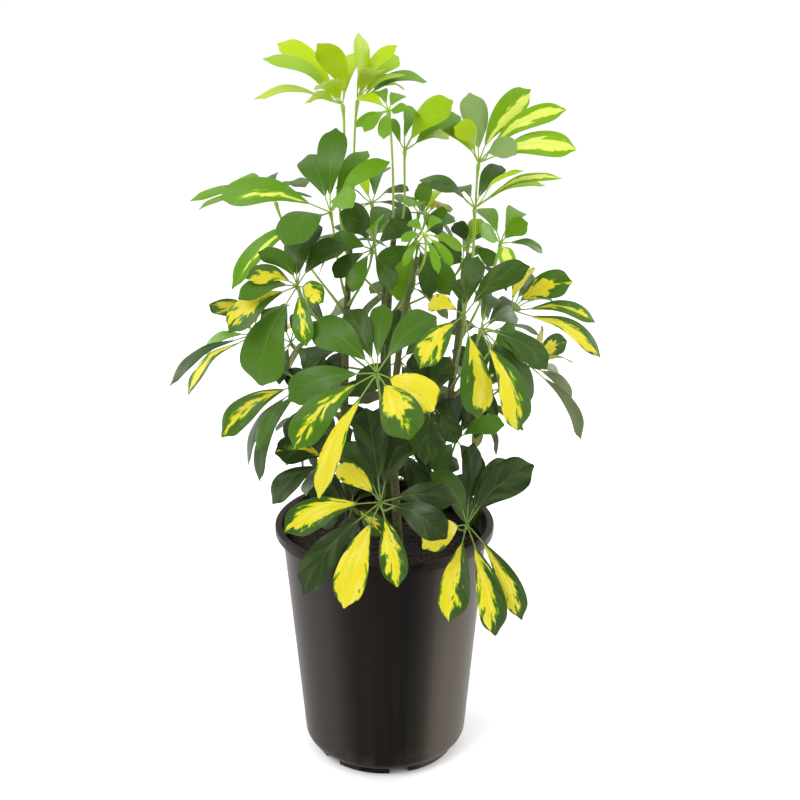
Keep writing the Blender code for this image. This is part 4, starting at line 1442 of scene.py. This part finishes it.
@dataclass
class Soil:
    """The potting soil: a crumbly top inside the pot's wall, with loose chips on it."""

    slot: str
    peat: bpy.types.Material
    chip: bpy.types.Material
    steps: int = 144
    rings: int = 40
    chips: int = 420
    sunken: float = 1.0 * MM
    unevenness: tuple = ((18, 1.6 * MM), (150, 0.9 * MM), (480, 0.7 * MM))

    def __post_init__(self) -> None:
        """Reads the packed soil's size."""
        low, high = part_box("soil")
        self.floor = low.z
        self.radius = (high.x - low.x) / 2
        self.top = high.z - 1.2 * MM

    def height(self, x: float, y: float) -> float:
        """The height of the soil's top at a place."""
        here = Vector((x, y, 0))
        return self.top + sum(noise.noise(here * fine) * tall for fine, tall in self.unevenness)

    def build(self) -> list[bpy.types.Object]:
        """Builds the soil and its chips.

        Returns:
            The pieces.
        """
        section = [(0, self.floor), (self.radius * 0.78, self.floor)]
        section += [(self.radius * 0.82, self.floor + 8 * MM), (self.radius, self.top)]
        section += [(self.radius * (1 - k / self.rings), self.top) for k in range(1, self.rings + 1)]
        shape = bmesh.new()
        turned(shape, section, self.steps)
        bmesh.ops.recalc_face_normals(shape, faces=shape.faces)
        for vert in shape.verts:
            if vert.co.z > self.top - 0.01 * MM:
                edge = eased(math.hypot(vert.co.x, vert.co.y) / self.radius, 0.93, 1.0)
                vert.co.z = self.height(vert.co.x, vert.co.y) - edge * self.sunken
        soil = finished("potting_mix", shape, (self.peat,))
        settle(soil, ("soil",))
        return [soil, self.scatter()]

    def scatter(self) -> bpy.types.Object:
        """Scatters chips of bark and lumps of peat over the soil."""
        dice = random.Random("chips")
        shape = bmesh.new()
        for _ in range(self.chips):
            radius = self.radius * math.sqrt(dice.random()) * 0.96
            angle = dice.uniform(0, math.tau)
            size = dice.uniform(0.7, 2.3) * MM * (1.6 if dice.random() < 0.12 else 1)
            place = Vector((radius * math.cos(angle), radius * math.sin(angle), 0))
            place.z = self.height(place.x, place.y) + size * 0.1
            made = bmesh.ops.create_icosphere(shape, subdivisions=1, radius=size)["verts"]
            for vert in made:
                vert.co *= 1 + 0.35 * (dice.random() - 0.5)
            scale = (1, dice.uniform(0.45, 0.9), dice.uniform(0.3, 0.7))
            bmesh.ops.scale(shape, vec=scale, verts=made)
            turn = Matrix.Rotation(dice.uniform(0, math.tau), 3, "Z")
            turn = turn @ Matrix.Rotation(dice.uniform(-0.6, 0.6), 3, "X")
            bmesh.ops.rotate(shape, cent=(0, 0, 0), matrix=turn, verts=made)
            bmesh.ops.translate(shape, vec=place, verts=made)
        chips = finished("bark_chips", shape, (self.chip,), smooth=False)
        settle(chips, ())
        return chips


@dataclass
class Pot:
    """The nursery pot: a thin tapering wall, a rolled lip, a rounded heel and a notched foot."""

    slot: str
    plastic: bpy.types.Material
    wall: float = 1.8 * MM
    lip_height: float = 7.3 * MM
    lip_wall: float = 1.5 * MM
    top_radius: float = 93.6 * MM
    base_radius: float = 75 * MM
    foot_radius: float = 66 * MM
    foot_height: float = 6 * MM
    foot_wall: float = 2.2 * MM
    heel: float = 13 * MM
    corner: float = 11 * MM
    floor: float = 2.2 * MM
    notches: int = 6
    first_notch: float = math.radians(-78)
    notch_width: float = 19 * MM
    stations: tuple = (60 * MM, 110 * MM, 160 * MM, 200 * MM)
    crisp: float = 0.6
    steps: int = 180
    foot_steps: int = 18

    def __post_init__(self) -> None:
        """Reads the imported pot's size."""
        low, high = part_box("pot")
        self.rim = (high.x - low.x) / 2
        self.height = high.z

    def outside(self, height: float) -> float:
        """The radius of the body's outside at a height."""
        share = (height - self.foot_height) / (self.height - self.lip_height - self.foot_height)
        return self.base_radius + (self.top_radius - self.base_radius) * share

    def arc(self, centre: tuple[float, float], radius: float, start: float, end: float) -> list:
        """Points of a rounding in the section.

        Args:
            centre: Its centre, as distance from the axis and height.
            radius: Its radius.
            start: Its first angle in degrees.
            end: Its last angle in degrees.

        Returns:
            The points.
        """
        count = 5
        angles = [math.radians(start + (end - start) * k / count) for k in range(count + 1)]
        return [(centre[0] + radius * math.cos(a), centre[1] + radius * math.sin(a)) for a in angles]

    def section(self) -> list[tuple[float, float]]:
        """The pot's section, from the middle of its floor out, up, over the lip and back."""
        top, rim = self.height, self.rim
        inner = self.floor + self.foot_height
        turn = inner + self.corner
        points = [(0, inner)]
        points += self.arc((self.outside(turn) - self.wall - self.corner, turn), self.corner, -90, 0)
        points += [(self.outside(z) - self.wall, z) for z in self.stations]
        points += [(self.outside(top - 6 * MM) - self.wall, top - 6 * MM)]
        points += [(self.top_radius - 0.6 * MM, top - 1.2 * MM), (self.top_radius + 0.4 * MM, top)]
        points += self.arc((rim - 1.6 * MM, top - 1.6 * MM), 1.6 * MM, 90, 0)
        points += self.arc((rim - 0.6 * MM, top - self.lip_height + 0.6 * MM), 0.6 * MM, 0, -90)
        points += [(rim - self.lip_wall, top - self.lip_height)]
        points += [(rim - self.lip_wall, top - 2.4 * MM), (self.top_radius + 1.6 * MM, top - 2.4 * MM)]
        points += [(self.outside(z), z) for z in (top - 4 * MM, *reversed(self.stations))]
        turn = self.foot_height + self.heel
        points += self.arc((self.outside(turn) - self.heel, turn), self.heel, 0, -74)
        points += [(self.foot_radius - self.foot_wall, self.foot_height), (0, self.foot_height)]
        return points

    def add_feet(self, shape: bmesh.types.BMesh) -> None:
        """Adds the foot ring, in the pieces that its notches leave.

        Args:
            shape: The mesh that it is added to.
        """
        gap = self.notch_width / self.foot_radius
        outer, inner = self.foot_radius, self.foot_radius - self.foot_wall
        section = ((inner, 0.5 * MM), (inner + 0.4 * MM, 0), (outer - 0.4 * MM, 0), (outer, 0.5 * MM),
                   (outer, self.foot_height + 0.4 * MM), (inner, self.foot_height + 0.4 * MM))
        for k in range(self.notches):
            start = self.first_notch + math.tau * k / self.notches + gap / 2
            made = [shape.verts.new((radius, 0, height)) for radius, height in section]
            bmesh.ops.rotate(shape, cent=(0, 0, 0), matrix=Matrix.Rotation(start, 3, "Z"), verts=made)
            ring = [shape.edges.new(pair) for pair in zip(made, made[1:] + made[:1])]
            bmesh.ops.spin(shape, geom=made + ring, cent=(0, 0, 0), axis=(0, 0, 1),
                           angle=math.tau / self.notches - gap, steps=self.foot_steps)
        ends = [edge for edge in shape.edges if edge.is_boundary]
        bmesh.ops.holes_fill(shape, edges=ends, sides=len(section))

    def build(self) -> bpy.types.Object:
        """Builds the pot.

        Returns:
            The piece.
        """
        shape = bmesh.new()
        turned(shape, self.section(), self.steps)
        self.add_feet(shape)
        bmesh.ops.recalc_face_normals(shape, faces=shape.faces)
        for edge in shape.edges:
            if edge.is_manifold and edge.calc_face_angle(0) > self.crisp:
                edge.smooth = False
        piece = finished("nursery_pot", shape, (self.plastic,))
        settle(piece, ("pot",))
        return piece


# ---------------------------------------------------------------------------------------------
# Studio
# ---------------------------------------------------------------------------------------------


@dataclass
class Studio:
    """A pale floor, a white surround, soft lamps and the camera."""

    camera_place: Vector = field(default_factory=lambda: Vector((0.0141, -1.230, 0.7817)))
    camera_tilt: float = 70.4
    lens: float = 66.06
    middle: Vector = field(default_factory=lambda: Vector((0, 0, 0.33)))
    floor_size: float = 40.0
    overhead: float = 1.5
    beyond: float = 0.9
    behind: float = 0.25
    lamps: tuple = (
        ("key", (-1.3, -1.5, 2.2), (1.4, 1.4), 42),
        ("fill", (1.7, -1.0, 1.3), (1.2, 1.6), 14),
        ("left_edge", (-1.6, 0.9, 0.7), (0.6, 1.6), 16),
        ("right_edge", (1.6, 1.0, 0.7), (0.6, 1.6), 20),
    )

    def add_floor(self) -> None:
        """Lays the floor."""
        shape = bmesh.new()
        bmesh.ops.create_grid(shape, x_segments=1, y_segments=1, size=self.floor_size)
        bmesh.ops.translate(shape, vec=(0, 0, -0.2 * MM), verts=shape.verts)
        finished("floor", shape, (FloorFinish().material(),))

    def add_lamp(self, name: str, place: Sequence[float], size: Sequence[float], power: float) -> None:
        """Hangs a soft rectangular lamp that looks at the plant.

        Args:
            name: The lamp's name.
            place: Where it hangs.
            size: Its width and height.
            power: Its power in watts.
        """
        lamp = bpy.data.lights.new(name, "AREA")
        lamp.shape = "RECTANGLE"
        lamp.size, lamp.size_y = size
        lamp.energy = power
        holder = bpy.data.objects.new(name, lamp)
        turn = (self.middle - Vector(place)).to_track_quat("-Z", "Y").to_matrix().to_4x4()
        holder.matrix_world = Matrix.Translation(place) @ turn
        bpy.context.scene.collection.objects.link(holder)

    def add_surround(self) -> None:
        """Sets the white surround: brightest overhead, dim behind the camera."""
        world = bpy.data.worlds.new("studio")
        bpy.context.scene.world = world
        world.use_nodes = True
        tree = world.node_tree
        tree.nodes.clear()
        out, both, seen, lit, where, parts = (
            tree.nodes.new("ShaderNode" + kind)
            for kind in ("OutputWorld", "MixShader", "Background", "Background", "TexCoord", "SeparateXYZ")
        )
        seen.inputs["Color"].default_value = (1, 1, 1, 1)
        tree.links.new(where.outputs["Generated"], parts.inputs[0])
        shares = []
        for output, *limits in (
            (parts.outputs[1], -0.9, 0.3, self.behind, self.beyond),
            (parts.outputs[2], 0.15, 0.6, 0.0, self.overhead),
        ):
            share = tree.nodes.new("ShaderNodeMapRange")
            share.interpolation_type = "SMOOTHSTEP"
            for name, value in zip(("From Min", "From Max", "To Min", "To Max"), limits):
                share.inputs[name].default_value = value
            tree.links.new(output, share.inputs["Value"])
            shares.append(share.outputs["Result"])
        total = tree.nodes.new("ShaderNodeMath")
        total.operation = "MAXIMUM"
        for socket, share in zip(total.inputs, shares):
            tree.links.new(share, socket)
        tree.links.new(total.outputs[0], lit.inputs["Strength"])
        path = tree.nodes.new("ShaderNodeLightPath")
        mixed = (path.outputs["Is Camera Ray"], lit.outputs[0], seen.outputs[0])
        for output, socket in zip(mixed, both.inputs):
            tree.links.new(output, socket)
        tree.links.new(both.outputs[0], out.inputs["Surface"])

    def add_camera(self) -> None:
        """Sets up the camera."""
        camera = bpy.data.cameras.new("camera")
        camera.lens = self.lens
        camera.sensor_width = 36
        camera.clip_end = 200
        holder = bpy.data.objects.new("camera", camera)
        turn = Matrix.Rotation(math.radians(self.camera_tilt), 4, "X")
        holder.matrix_world = Matrix.Translation(self.camera_place) @ turn
        bpy.context.scene.collection.objects.link(holder)
        bpy.context.scene.camera = holder

    def build(self) -> None:
        """Sets up the whole studio."""
        self.add_floor()
        self.add_surround()
        for lamp in self.lamps:
            self.add_lamp(*lamp)
        self.add_camera()
        bpy.context.scene.view_settings.view_transform = "Standard"


def main() -> None:
    """Builds the plant and its studio."""
    logging.basicConfig(level=logging.INFO, format="%(name)s %(message)s")
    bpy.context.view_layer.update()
    slot = slots()
    blade, stalk = BladeFinish().material(), StalkFinish().material()
    bark = BarkFinish().material()
    Pot(slot["pot"], PlasticFinish().material()).build()
    chip = SoilFinish(linear(58, 40, 27), linear(98, 66, 42), linear(140, 108, 74), "bark_chip")
    Soil(slot["soil"], SoilFinish().material(), chip.material()).build()
    for node in sorted(frame["nodes"]):
        if node.startswith("stem_"):
            Stem(node, slot[node], bark).build()
    for node, looks in LOOKS.items():
        Foliage(LeafReader(node).read(), looks, slot[node], blade, stalk).build()
    Studio().build()


if __name__ == "__main__":
    main()
